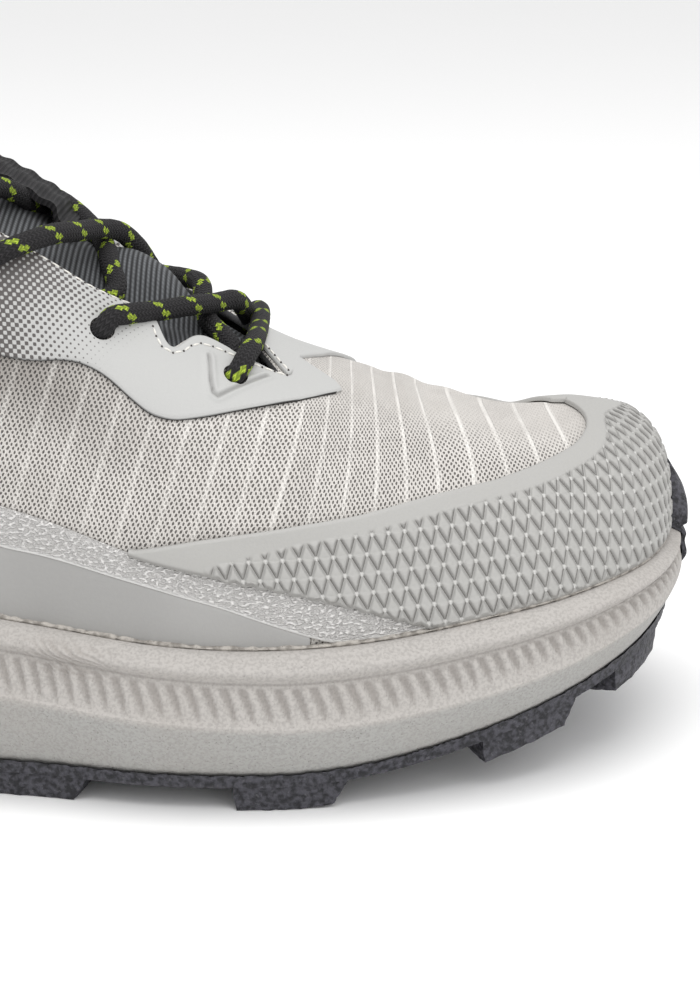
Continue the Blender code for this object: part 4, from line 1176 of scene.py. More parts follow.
def cap_lengths(q, v):
    """Lengths along and up the toe cap that its lozenges follow."""
    base = np.interp(foot(q)[0], (200.0, 268.0, 285.0, 300.0), (45.0, 46.0, 42.5, 41.5))
    up = arc_up(q, v) - arc_up(q, share_at_height(q, base))
    return arc_along(q, 0.4) + 0.14 * up, up


def make_toe_cap(sizes, colours):
    """Film wrapped round the toe, moulded with lozenges below a smooth border."""
    start = min(TOE_CAP_TOP)
    band_end = max(BAND_TOP)
    width = sizes.lozenge_width / MM

    def low(q):
        place = section_place(q)
        behind = edge_share(BAND_TOP, np.minimum(place, band_end))
        lobe = np.abs(np.sin(np.pi * arc_along(q, 0.4) / width))
        scallop = -0.005 * lobe * ease(place, 7.30, 7.45)
        return np.where(place < band_end, np.maximum(behind + scallop, above_rim(q)), above_rim(q))

    def high(q):
        place = section_place(q)
        edge = np.where(on_medial(q), edge_share(MEDIAL_CAP_TOP, place, 0.05),
                        edge_share(TOE_CAP_TOP, place, 0.03))
        return np.maximum(edge, low(q) + 0.014)

    def field(q, v, height):
        top = edge_share(LOZENGE_TOP, section_place(q))
        return ease(top - v, 0.0, 0.012) * ease(height, 0.2, 1.0) * ease(section_place(q), 7.28, 7.36)

    def moulded(q, v, height, span):
        s, t = cap_lengths(q, v)
        far, lower = lozenge(s, t, sizes)
        scale = (1 - ease(far, 0.55, 1.0)) * (0.4 + 0.6 * lower)
        thick = 0.45 * (1 - ease(height, 2.0, 9.0))
        return thick + sizes.lozenge_relief / MM * field(q, v, height) * (scale - 0.5)

    def marks(q, v, height, span):
        s, t = cap_lengths(q, v)
        # rim: band along the cap's lower edge that gets painted shade.
        return {"along": s, "up": t, "moulded": field(q, v, height),
                "rim": (1 - ease(height, 0.1, 1.1)) * (section_place(q) < band_end)}

    def closed(q):
        return section_place(q) >= CAP_JOINED

    stations = np.linspace(start, LOOP - start, 801)
    piece = lay_shell("toe_cap_film", stations, 88, 8, low, high, CAP_REACH, moulded, marks, closed)
    finish_piece(piece, (cap_material(sizes, colours),), ("toe_cap",), 70)


def make_side_band(colours):
    """Wrinkled band along the side and round the heel, with a thin raised lower edge."""
    end = max(BAND_TOP) - 0.05

    def low(q):
        return np.maximum(edge_share(BAND_LOW, section_place(q)), above_rim(q))

    def high(q):
        return np.maximum(edge_share(BAND_TOP, section_place(q)) + 0.004, above_rim(q) + LEAST_STRIP)

    def border(height):
        return 1 - ease(height, 0.35, 0.7)

    def raised(q, v, height, span):
        return 0.25 * border(height)

    def marks(q, v, height, span):
        return {"edge": border(height)}

    stations = np.linspace(-end, end, 700)
    piece = lay_shell("side_band_film", stations, 20, 3, low, high, BAND_REACH, raised, marks)
    finish_piece(piece, (band_material(colours),), ("side_band",), 70)


def make_rand(colours):
    """Smooth rand between the side band and the midsole."""
    end = 8.0

    def low(q):
        return np.maximum(above_rim(q) - 0.02, 0.01)

    def high(q):
        band = np.maximum(edge_share(BAND_LOW, section_place(q)), above_rim(q))
        return np.maximum(band + 0.004, above_rim(q) + LEAST_STRIP)

    def swell(q, v, height, span):
        return 0.25 * np.sin(np.pi * np.clip(height / np.maximum(span, 0.1), 0, 1))

    piece = lay_shell("heel_rand_film", np.linspace(-end, end, 420), 14, 3, low, high, RAND_REACH, swell)
    finish_piece(piece, (rand_material(colours),), ("heel_rand",), 70)


def polyline_distance(points, corners):
    """Shortest distance from each point to a line through corners."""
    best = np.full(len(points), 99.0)
    for a, b in zip(corners[:-1], corners[1:]):
        run = b - a
        share = np.clip((points - a) @ run / (run @ run), 0, 1)
        best = np.minimum(best, np.linalg.norm(points - a - share[:, None] * run, axis=-1))
    return best


def cut_eyelets(piece, radius):
    """Punches the lace holes."""
    cutters = []
    for place, share in EYELETS:
        for q in (place, LOOP - place):
            at = upper_surface(q, share)
            axis = Vector(upper_normal(np.array(q), np.array(share)))
            bpy.ops.object.select_all(action="DESELECT")
            bpy.ops.mesh.primitive_cylinder_add(vertices=32, radius=radius * MM, depth=12 * MM,
                                                location=Vector(at + ORIGIN) * MM,
                                                rotation=axis.to_track_quat("Z", "X").to_euler())
            cutters.append(bpy.context.active_object)
    cutter = join_pieces(cutters, "eyelet_punch")
    select_only(piece)
    cut = piece.modifiers.new("eyelets", "BOOLEAN")
    cut.operation = "DIFFERENCE"
    cut.solver = "EXACT"
    cut.object = cutter
    bpy.ops.object.modifier_apply(modifier=cut.name)
    mesh = cutter.data
    bpy.data.objects.remove(cutter)
    bpy.data.meshes.remove(mesh)


def make_eyestay(sizes, colours):
    """Film round the throat in two legs that meet ahead of it, with lace holes and a pressed line."""
    frame_line = np.array([upper_surface(q, v) for q, v in EYELET_FRAME])

    def low(q):
        place = section_place(q)
        return np.where(place < 7.7, edge_share(EYESTAY_LOW, place), edge_share(EYESTAY_LOW, place, 0.01))

    def high(q):
        place = section_place(q)
        front = np.where(on_medial(q), table_line(MEDIAL_FRONT, place), table_line(LATERAL_FRONT, place))
        return np.maximum(np.where(place < min(LATERAL_FRONT), throat_edge(q), front), low(q) + 0.002)

    def from_line(q, v):
        return polyline_distance(upper_surface(section_place(q), v), frame_line)

    def pressed(q, v, height, span):
        near = from_line(q, v)
        joint = (section_place(q) >= CLOSED) & (section_place(q) <= min(LATERAL_FRONT))
        level = 0.3 * (1 - ease(span - height, 0.0, 0.7)) * joint
        return level + 0.3 * np.exp(-((near - 0.75) / 0.5) ** 2) - 0.3 * np.exp(-(near / 0.35) ** 2)

    def marks(q, v, height, span):
        place = section_place(q)
        dots = 0.33 + (6.52 - place) * 0.95 + np.clip((v - 0.72) * 2.0, -0.2, 0.12)
        # Band near the lower edge, painted near black as shade.
        cut = (1 - ease(height, 0.10, 0.2)) * (place < 8.3)
        # The pressed line is also painted darker, as shade.
        line = np.exp(-(from_line(q, v) / 0.4) ** 2)
        return {"dots": np.clip(dots, -0.1, 0.74), "edge": cut, "line": line}

    legs = []
    for front in (max(LATERAL_FRONT), LOOP - max(MEDIAL_FRONT)):
        back = min(EYESTAY_LOW)
        end = section_place(np.array(front))
        stations = np.concatenate([np.arange(back, 7.0, 0.03), np.arange(7.0, end - 0.005, 0.0102), [end]])
        places = stations if front < LAST else LOOP - stations[::-1]
        name = f"eyestay_leg_{len(legs)}"
        legs.append(lay_shell(name, places, 60, 6, low, high, EYESTAY_REACH, pressed, marks))
    piece = join_pieces(legs, "eyestay_film")
    cut_eyelets(piece, EYELET_RADIUS)
    finish_piece(piece, (eyestay_material(sizes, colours),), ("eyestay",), 60)


def stitch_line(places, below, offset):
    """Points along the throat edge, given lengths below it."""
    q = np.asarray(places, float)
    top = throat_edge(q)
    return upper_surface(q, top * (1 - below / arc_up(q, top)), offset)


def resample(path, pitch):
    """Points at an even pitch along a path."""
    lengths = np.concatenate([[0], np.cumsum(np.linalg.norm(np.diff(path, axis=0), axis=-1))])
    at = np.linspace(0, lengths[-1], max(2, int(round(lengths[-1] / pitch)) + 1))
    return np.stack([np.interp(at, lengths, path[:, axis]) for axis in range(3)], -1)


def make_stitches(sizes):
    """Sewn lines along the throat: pale thread and the needle holes between the stitches."""
    length = sizes.seam_stitch / MM
    threads, holes = [], []
    front = np.array(FRONT_SEAM)
    places = np.linspace(4.7, 7.0, 200)
    seams = [upper_surface(front[:, 0], front[:, 1], 0.82)]
    seams += [stitch_line(q, 1.3 + 0 * q, 0.74) for q in (places, LOOP - places)]
    places = np.linspace(7.1, 7.94, 160)
    seams.append(stitch_line(LOOP - places, np.interp(places, (7.1, 7.94), (2.2, 1.0)), 0.82))
    for seam in seams:
        knots = resample(seam, length)
        for a, b in zip(knots[:-1], knots[1:]):
            threads.append((a + (b - a) * 0.12, b - (b - a) * 0.12))
        holes.extend(knots)

    def capsule(name, start, end, radius):
        run = end - start
        axis = run / np.linalg.norm(run)
        side = np.cross(axis, (0.0, 0.0, 1.0))
        side /= np.linalg.norm(side)
        over = np.cross(side, axis)

        def place(u, w):
            turn = 2 * np.pi * u
            bow = np.sin(np.pi * w)
            width = radius * np.sqrt(np.clip(1 - (2 * w - 1) ** 4, 0, 1))
            along = start + np.outer(w, run) + np.outer(0.12 * bow, over)
            points = along + side * (width * np.cos(turn))[:, None] + over * (width * np.sin(turn))[:, None]
            return points, (u, w), {}

        return lay_grid(name, 6, 5, place)

    thread = join_pieces([capsule("stitch", a, b, 0.2) for a, b in threads], "throat_stitches")
    weld(thread, 0.002)
    finish_piece(thread, (thread_material(),), (), 80)
    step = np.array((0.22, 0.0, 0.0))
    hole = join_pieces([capsule("needle", at - step, at + step, 0.22) for at in holes], "needle_holes")
    weld(hole, 0.002)
    finish_piece(hole, (hole_material(),), (), 80)


def make_midsole(sizes, colours):
    """Foam cup: grainy flank, ledge, slanted flutes, groove, bead, and the footbed inside."""
    columns = 9 * RIB_COUNT
    side = np.concatenate([np.linspace(BASE, LEDGE, 8)[:-1], np.linspace(LEDGE, GROOVE, 18)[:-1],
                           np.linspace(GROOVE, LIP, 11)])
    cup = {"cup_top": 1.0, "cup_middle": 0.5, "cup_foot": 0.0}
    names = ["under", "half"] + [None] * len(side) + [*cup, "bed"]
    levels = np.concatenate([[0, 0], side, [LIP] * 4])

    def place(u, w):
        q = u * LOOP
        row = np.rint(w * (len(names) - 1)).astype(int)
        level = levels[row]
        points = np.zeros((len(q), 3))
        turned = np.mod(q, LAST)
        tall = np.interp(level, np.arange(len(SIDE_STEPS)), [step[1] for step in SIDE_STEPS])
        lean = 0.36 * np.clip(np.minimum(turned, LAST - turned) / 0.8, 0, 1)
        lean = np.where(on_medial(q), -lean, lean)
        phase = (q + lean * (tall - 0.6)) * RIB_COUNT / LOOP
        beside = np.abs(np.mod(phase, 1.0) - 0.5)
        x = foot(q)[0]
        start = np.interp(x, (215, 285), (0.47, 0.55))
        width = 0.12 + 0.24 * ease(tall, start, 0.70)
        fade = ease(tall, start, start + 0.13) * (1 - ease(tall, 0.73, 0.785))
        strength = np.interp(x, (120, 180, 230, 290), (0.7, 0.8, 1.0, 1.1))
        flute_and_shade = (1 - ease(beside / width, 0.35, 1.0)) * fade
        notch = 0.22 * np.exp(-((level - GROOVE) / 0.2) ** 2)
        depth = -sizes.rib_depth / MM * strength * flute_and_shade - notch
        is_side = np.array([name is None for name in names])[row]
        points[is_side] = side_point(q[is_side], level[is_side], depth[is_side])
        for index, name in enumerate(names):
            if name is None:
                continue
            mine = row == index
            at = q[mine]
            if name in ("under", "half"):
                inner_x, inner_y = centre_line(at)
                if name == "half":
                    edge = side_point(at, BASE)
                    inner_x, inner_y = (inner_x + edge[:, 0]) / 2, (inner_y + edge[:, 1]) / 2
                height = floor_height(inner_x) + LUG_DEPTH + RUBBER_WALL + SEAT_GAP
                points[mine] = np.stack([inner_x, inner_y, height], -1)
            elif name == "bed":
                inner_x, inner_y = centre_line(at)
                points[mine] = np.stack([inner_x, inner_y, sole_line("bed", inner_x)], -1)
            else:
                wall = upper_surface(at, cup[name] * share_at_height(at, rim_height(at), SEAT_GAP), SEAT_GAP)
                if name == "cup_top":
                    wall[:, 2] = rim_height(at)
                points[mine] = wall
        rise = points[:, 2] - floor_height(points[:, 0])
        # The flute mark also gives the foam painted shade in its flutes.
        marks = {"level": level / LIP, "flute_and_shade": flute_and_shade * is_side,
                 "print": np.exp(-((x - 176) / 9) ** 2) * ease(level, 3.6, 4.4) * (1 - ease(level, 6.2, 6.9))}
        return points, (arc_along(q, 0.05), rise), marks

    piece = lay_grid("midsole_foam", columns, len(names) - 1, place)
    weld(piece)
    finish_piece(piece, (foam_material(colours),), ("midsole",), 75)


def make_glue_line():
    """Irregular bead of glue between midsole and upper."""
    def place(u, w):
        q = u * LOOP
        share = share_at_height(q, rim_height(q) + 0.3)
        at = upper_surface(q, share)
        normal = upper_normal(q, share)
        along = arc_along(q, 0.05)
        loose = ripple(along * 0.9, along * 0.37, 0 * q, 4)
        tall = 0.42 + 0.16 * loose + 0.14 * ripple(along * 3.1, along * 1.3, 0 * q, 9)
        turn = 2 * np.pi * w
        points = at + normal * (0.85 + 0.75 * np.cos(turn))[:, None]
        points[:, 2] += tall * np.sin(turn)
        return points, (along, w), {}

    piece = lay_grid("glue_line", 900, 8, place)
    weld(piece)
    finish_piece(piece, (glue_material(),), (), 80)


def make_outsole(colours):
    """Rubber sheet, lugs and toe guard."""
    material = rubber_material(colours)
    profile = (("middle", 0.0), ("half", 0.0), ("inset", 0.0), ("edge", 0.25), ("edge", 1.7), ("lap", 2.9),
               ("under", 2.2), ("half", 2.0), ("middle", 2.0))

    def sheet(u, w):
        q = u * LOOP
        row = np.rint(w * (len(profile) - 1)).astype(int)
        points = np.zeros((len(q), 3))
        along = arc_along(q, 0.05)
        for index, (kind, height) in enumerate(profile):
            mine = row == index
            at = q[mine]
            edge = side_point(at, BASE)
            normal_x, normal_y = foot_normal(at)
            x, y = edge[:, 0], edge[:, 1]
            if kind in ("middle", "half"):
                middle_x, middle_y = centre_line(at)
                share = 0.0 if kind == "middle" else 0.5
                x, y = middle_x + (x - middle_x) * share, middle_y + (y - middle_y) * share
            else:
                out = {"inset": 0.0, "edge": 0.7, "lap": 1.15, "under": -0.6}[kind]
                rough = 0.10 * ripple(along[mine] * 2.3, along[mine], 0 * at + index, 3)
                x, y = x + normal_x * (out + rough), y + normal_y * (out + rough)
            z = floor_height(x) + LUG_DEPTH + height
            if kind == "lap":
                z = z + 0.22 * ripple(along[mine] * 1.9, along[mine] * 0.7, 0 * at, 7)
            points[mine] = np.stack([x, y, z], -1)
        return points, (along, w), {}

    piece = lay_grid("outsole_sheet", 1100, len(profile) - 1, sheet)
    weld(piece)
    finish_piece(piece, (material,), ("outsole",), 60)

    bpy.ops.object.select_all(action="DESELECT")
    bpy.ops.mesh.primitive_cube_add(size=2.0)
    block = bpy.context.active_object
    bpy.ops.object.mode_set(mode="EDIT")
    bpy.ops.mesh.select_all(action="SELECT")
    bpy.ops.mesh.subdivide(number_cuts=11)
    bpy.ops.object.mode_set(mode="OBJECT")
    corners = np.empty(3 * len(block.data.vertices))
    block.data.vertices.foreach_get("co", corners)
    corners = corners.reshape(-1, 3)
    ball = corners / np.linalg.norm(corners, axis=-1, keepdims=True)
    softness, fullness = 0.10, 1.2
    rounded = corners * (1 - softness) + ball * softness * fullness

    def lug(name, form):
        bpy.ops.object.select_all(action="DESELECT")
        copy = block.copy()
        copy.data = block.data.copy()
        copy.name = name
        bpy.context.collection.objects.link(copy)
        points = form(*rounded.T)
        points = points + 0.10 * np.stack([ripple(*(points.T * k), 5) for k in (2.1, 2.7, 3.3)], -1)
        copy.data.vertices.foreach_set("co", ((points + ORIGIN) * MM).astype(np.float32).ravel())
        return copy

    lugs = []
    edge_depth, taper, front_slope, buried = 13.0, 0.82, 0.12, 0.6
    pitch, half_size, slant = 19.0, 4.5, 2.0
    places = [(middle, length, 1) for middle, length in EDGE_LUGS]
    places += [(LOOP - middle, length, -1) for middle, length in EDGE_LUGS]
    for index, (middle, length, forward) in enumerate(places):

        def edge_lug(along, inward, down):
            low = np.clip(0.5 - down / 2, 0, 1)
            narrow = 1 + (taper - 1) * low
            q = middle + length / 2 * (along * narrow - forward * front_slope * low)
            root = side_point(q, BASE)
            normal_x, normal_y = foot_normal(q)
            inset = (inward + 1) / 2 * edge_depth * narrow - 0.1
            x = root[:, 0] - normal_x * inset
            y = root[:, 1] - normal_y * inset
            teeth = 0.35 * np.abs(np.mod(along * 4.5, 1.0) - 0.5) * ease(-down, 0.75, 0.95)
            z = floor_height(x) + (down + 1) / 2 * (LUG_DEPTH + buried) + teeth
            return np.stack([x, y, z], -1)

        lugs.append(lug(f"edge_lug_{index}", edge_lug))
    for x_middle in np.arange(0.16 * LENGTH, 0.90 * LENGTH, pitch):
        y_middle = np.interp(x_middle, (0.1 * LENGTH, 0.9 * LENGTH), (0.0, 4.0))
        for side in (-1, 1):

            def middle_lug(along, across, down):
                narrow = np.where(down < 0, 1 + (taper - 1) * -down, 1.0)
                x = x_middle + along * half_size * narrow - across * side * slant
                y = y_middle + side * 0.1 * BALL_WIDTH + across * half_size * narrow
                z = floor_height(x) + (down + 1) / 2 * (LUG_DEPTH + buried)
                return np.stack([x, y, z], -1)

            lugs.append(lug(f"middle_lug_{x_middle:.0f}_{side}", middle_lug))
    mesh = block.data
    bpy.data.objects.remove(block)
    bpy.data.meshes.remove(mesh)
    tread = join_pieces(lugs, "outsole_lugs")
    finish_piece(tread, (material,), (), 50)
    make_toe_guard(material)


def make_toe_guard(material):
    """Rubber tab that wraps up over the front of the midsole and the toe."""
    middle, half_width, tab_height = LAST + 0.6, 0.70, 13.0
    thin, thick, tip, root_inset = 0.9, 2.3, 1.2, 1.4
    guard_steps = (BASE, TUCK, LEDGE, RIB_HIGH, BEAD)
    tab_shares = (0.2, 0.6, 1.0)
    tab_walls = (thick, thick + 1.2, tip)
    levels = 1 + len(guard_steps) + len(tab_shares)
    fine = 4
    count = (levels - 1) * fine + 1

    def layer(q, level, outer):
        if level == 0:
            points = side_point(q, BASE, SEAT_GAP - root_inset + outer * (thin + root_inset / 2))
            points[:, 2] -= SEAT_GAP + RUBBER_WALL / 2
            return points
        if level <= len(guard_steps):
            return side_point(q, guard_steps[level - 1], SEAT_GAP + outer * thin)
        index = level - len(guard_steps) - 1
        across = (q - middle) / half_width
        crown = tab_height * np.sqrt(np.maximum(1 - 0.95 * across ** 2, 0.0))
        share = share_at_height(q, rim_height(q) + tab_shares[index] * crown)
        return upper_surface(q, share, 1.9 + outer * tab_walls[index])

    def place(u, w):
        q = middle + (u - 0.5) * 2 * half_width
        rows = 2 * count
        row = np.rint(w * rows).astype(int) % rows
        knots = np.arange(levels)
        points = np.zeros((len(q), 3))
        stacks = [np.stack([layer(q, level, outer) for level in range(levels)]) for outer in (0.0, 1.0)]
        for index in range(rows):
            mine = row == index
            outer = index >= count
            at = (rows - 1 - index if outer else index) / fine
            stack = stacks[int(outer)][:, mine]
            points[mine] = np.stack([smooth(knots, stack[:, k, axis], at) for k in range(stack.shape[1])
                                     for axis in range(3)]).reshape(-1, 3)
        return points, (arc_along(q, 0.05), w), {}

    piece = lay_grid("toe_guard", 40, 2 * count, place)
    weld(piece)
    close_holes(piece)
    finish_piece(piece, (material,), (), 60)


def tongue_surface(along, across):
    """Outer face of the tongue: along from under the vamp (0) to its free top (1), across -1 to 1."""
    tuck_share = 0.62
    clear = UPPER_WALL + 1.2
    free_top, free_start, narrowing = 30.0, 0.76, 4.5
    r = np.interp(along, (0.0, free_start), (THROAT + 0.5, INSTEP))
    beyond = np.interp(along, (free_start, 1.0), (0.0, free_top)) * (1 - 0.22 * across ** 4)
    covered = np.interp(r, (INSTEP + 0.05, INSTEP + 0.7), (0.0, 1.0))
    tuck = 1 - (1 - tuck_share) * covered
    lat_edge, med_edge = (upper_surface(q, 1.0, -clear) for q in (r, LOOP - r))
    lat_tuck, med_tuck = (upper_surface(q, tuck, -clear) for q in (r, LOOP - r))
    half_gap = np.linalg.norm(med_edge - lat_edge, axis=-1) / 2
    cover = (np.linalg.norm(lat_tuck - lat_edge, axis=-1) + np.linalg.norm(med_tuck - med_edge, axis=-1)) / 2
    half_gap = half_gap - narrowing * (1 - covered)
    reach = across * (half_gap + cover)
    inside = np.clip(reach / np.maximum(half_gap, 0.01), -1, 1)
    under = np.maximum(np.abs(reach) - half_gap, 0) / np.maximum(cover, 0.01)
    share = 1 - (1 - tuck) * np.minimum(under, 1)
    q = np.where(across < 0, r, LOOP - r)
    beside = upper_surface(q, share, -clear)
    middle = (lat_edge + med_edge) / 2
    opening = med_edge - lat_edge
    toward = opening / np.maximum(np.linalg.norm(opening, axis=-1, keepdims=True), 0.01)
    open_share = np.clip((THROAT - 0.1 - r) / 0.55, 0, 1)
    crown = edge_share(TONGUE_CROWN, r, 0.06)
    between = middle + toward * (inside * half_gap)[:, None]
    between[:, 2] += (crown + clear) * open_share * (1 - inside ** 2) ** 1.3
    surface = np.where((np.abs(reach) > half_gap)[:, None], beside, between)
    return surface + np.stack([-0.80 * beyond, 0.0 * beyond, 0.62 * beyond], -1)


def tongue_normal(along, across):
    """Upward direction of the tongue's outer face."""
    step, side_step = 0.012, 0.03
    run = (tongue_surface(np.minimum(along + step, 1), across)
           - tongue_surface(np.maximum(along - step, 0), across))
    cross = (tongue_surface(along, np.minimum(across + side_step, 1))
             - tongue_surface(along, np.maximum(across - side_step, -1)))
    normal = np.cross(run, cross)
    normal /= np.linalg.norm(normal, axis=-1, keepdims=True) + 1e-9
    return normal * np.where(normal[:, 2:] < 0, -1.0, 1.0)


def make_tongue(colours):
    """Padded tongue of ribbed webbing, with a strap along it that keeps the lace."""
    shares, inside = shell_rows(64, 20)
    rows = len(shares) - 1

    def place(u, w):
        index = np.rint(w * rows).astype(int)
        across = 2 * shares[index] - 1
        points = tongue_surface(u, across)
        normal = tongue_normal(u, across)
        end = np.sqrt(np.clip(1 - np.clip((u - 0.955) / 0.045, 0, 1) ** 2, 0, 1))
        rim = np.sqrt(np.clip(1 - np.clip((np.abs(across) - 0.93) / 0.07, 0, 1) ** 2, 0, 1))
        wall = TONGUE_WALL * end * rim * np.interp(u, (0.0, 0.2, 0.5), (0.35, 0.7, 1.0))
        drop = np.where(inside[index] > 0.5, wall, 0.0)
        points = points - normal * drop[:, None]
        return points, (u * TONGUE_LENGTH, across * TONGUE_HALF_WIDTH), {}

    piece = lay_grid("tongue_webbing", 170, rows, place)
    weld(piece)
    close_holes(piece)
    finish_piece(piece, (webbing_material(colours),), ("tongue",), 60)

    strap_shares, strap_inside = shell_rows(12, 4)
    strap_rows = len(strap_shares) - 1
    strap_start, strap_run, strap_length = 0.42, 0.22, 34.0

    def strap(u, w):
        index = np.rint(w * strap_rows).astype(int)
        across = strap_shares[index] * 0.47 - 0.16
        along = strap_start + u * strap_run
        points = tongue_surface(along, 0.3 * across)
        beside = tongue_surface(along, across)
        points[:, 1] = beside[:, 1]
        normal = tongue_normal(along, 0 * across)
        arch = 2.8 * ease(u, 0.04, 0.22) * (1 - ease(u, 0.75, 0.97))
        fold = 1.1 * np.exp(-((u - 0.05) / 0.035) ** 2) + 0.5 * np.exp(-((u - 0.16) / 0.03) ** 2)
        wavy = 0.25 * np.sin(across * 21.0) * ease(u, 0.0, 0.2) + 0.22 * np.sin(u * 46.0 + across * 7.0)
        lift = 0.2 + arch + fold + wavy + np.where(strap_inside[index] > 0.5, 0.0, 1.3)
        return points + normal * lift[:, None], (u * strap_length, across * TONGUE_HALF_WIDTH), {}

    keeper = lay_grid("lace_keeper", 90, strap_rows, strap)
    weld(keeper)
    close_holes(keeper)
    finish_piece(keeper, (strap_material(colours),), (), 60)


def make_insole(colours):
    """Insole with a slightly dished edge."""
    inset = UPPER_WALL + 0.9
    thickness, dish_rise = 3.5, 2.2
    upper_rows, lower_rows = 0.8, 0.2

    def place(u, w):
        q = u * LOOP
        foot_x, foot_y = foot(q)
        normal_x, normal_y = foot_normal(q)
        middle_x, middle_y = centre_line(q)
        edge_x, edge_y = foot_x - normal_x * inset, foot_y - normal_y * inset
        share = np.clip(w / upper_rows, 0, 1)
        x = middle_x + (edge_x - middle_x) * share
        y = middle_y + (edge_y - middle_y) * share
        under = np.clip((w - upper_rows) / lower_rows, 0, 1)
        x = x + (middle_x - x) * under * 0.98
        y = y + (middle_y - y) * under * 0.98
        dish = dish_rise * ease(share, 0.78, 1.0) * (1 - under)
        z = sole_line("bed", x) + SEAT_GAP + thickness * (1 - ease(under, 0.0, 0.3)) + dish
        return np.stack([x, y, z], -1), (x, y), {}

    piece = lay_grid("insole_pad", 240, 25, place)
    weld(piece)
    close_holes(piece)
    finish_piece(piece, (lining_material(colours),), ("insole",), 60)


def eyelet_point(side, level, offset, toward_edge=0.0, along=0.0):
    """Point at an eyelet, or part of the way from it to the throat edge."""
    place, share = EYELETS[level]
    r = place + along
    q = LOOP - r if side else r
    edge = float(throat_edge(np.array(q)))
    return upper_surface(q, share + (edge - share) * toward_edge, offset)


def tongue_top(x):
    """Height of the tongue's middle at a length along the shoe."""
    along = np.linspace(0.05, 0.76, 120)
    middle = tongue_surface(along, 0 * along)
    return np.interp(x, middle[::-1, 0], middle[::-1, 2])


def lace_route(sizes):
    """Corners of the lace from the top medial eyelet down to the front bar and up to the top lateral one."""
    radius = sizes.lace_diameter / MM / 2
    rest = 0.9 + radius
    across = eyelet_point(1, 0, 0.0)[1] / eyelet_point(0, 0, 0.0)[1]

    def over_tongue(level):
        """Middle of the third crossing's other strand, which lies on the tongue."""
        above = eyelet_point(1, level + 1, 0.0, 1.0, 0.14)
        below = eyelet_point(0, level, 0.0, 1.0, -0.12)
        middle = (above + below) / 2
        middle[2] = tongue_top(middle[0]) + radius + 0.2
        return middle

    def half(side):
        """From beside the middle of the front bar to the top eyelet, starting towards one side."""
        corners = [np.array((x, y * across if side else y, z)) for x, y, z in BAR_HALF[1:]]
        for level in range(len(EYELETS)):
            if level >= len(MEDIAL_UP) + 1:
                corners.append(eyelet_point(side, level, rest + 0.9, 1.0, 0.14))
                corners.append(eyelet_point(side, level, rest + 0.1, 0.5, 0.06))
            corners.append(eyelet_point(side, level, 0.6))
            corners.append(eyelet_point(side, level, -3.2, 0.12, -0.02))
            if level == len(EYELETS) - 1:
                break
            corners.append(eyelet_point(side, level, -4.0, 0.5, -0.06))
            if level < len(MEDIAL_UP):
                corners.extend(np.array((MEDIAL_UP if side else LATERAL_UP)[level]))
            else:
                corners.append(eyelet_point(side, level, -3.4, 0.95, -0.12))
                corners.extend(np.array(KEPT_UP) if side else [over_tongue(level)])
            side = 1 - side
        return corners

    return np.array(half(1)[::-1] + [np.array(BAR_HALF[0])] + half(0))


def lace_path(sizes):
    """The route as a smooth path at an even pitch."""
    corners = lace_route(sizes)
    gaps = np.linalg.norm(np.diff(corners, axis=0), axis=-1) ** 0.6
    knots = np.concatenate([[0], np.cumsum(gaps)])
    at = np.linspace(0, knots[-1], 60 * len(corners))
    path = np.stack([smooth(knots, corners[:, axis], at) for axis in range(3)], -1)
    return resample(path, LACE_PITCH)


def make_lace(sizes, colours):
    """One round lace that runs through all eyelets."""
    path = lace_path(sizes)
    radius = sizes.lace_diameter / MM / 2
    tangent = np.gradient(path, axis=0)
    tangent /= np.linalg.norm(tangent, axis=-1, keepdims=True)
    frames = []
    side = np.cross(tangent[0], (0.0, 0.0, 1.0))
    for direction in tangent:
        side = side - direction * (side @ direction)
        side /= np.linalg.norm(side)
        frames.append((side, np.cross(direction, side)))
    frames = np.array(frames)
    lengths = np.concatenate([[0], np.cumsum(np.linalg.norm(np.diff(path, axis=0), axis=-1))])
    last = len(path) - 1

    def place(u, w):
        index = np.rint(u * last).astype(int)
        turn = 2 * np.pi * w
        end = np.minimum(index, last - index) * LACE_PITCH
        width = radius * np.sqrt(np.clip(1 - np.clip(1 - end / radius, 0, 1) ** 2, 0, 1))
        braid = 1 + 0.02 * np.sin(turn * 9 + lengths[index] * 3.6) * np.sin(turn * 9 - lengths[index] * 3.6)
        ringed = frames[index, 0] * np.cos(turn)[:, None] + frames[index, 1] * np.sin(turn)[:, None]
        return path[index] + ringed * (width * braid)[:, None], (lengths[index], w), {}

    piece = lay_grid("lace", last, 28, place)
    weld(piece)
    nodes = ("lace_bar", "lace_cross_1", "lace_cross_2", "lace_cross_3")
    finish_piece(piece, (cord_material(colours),), nodes, 80)


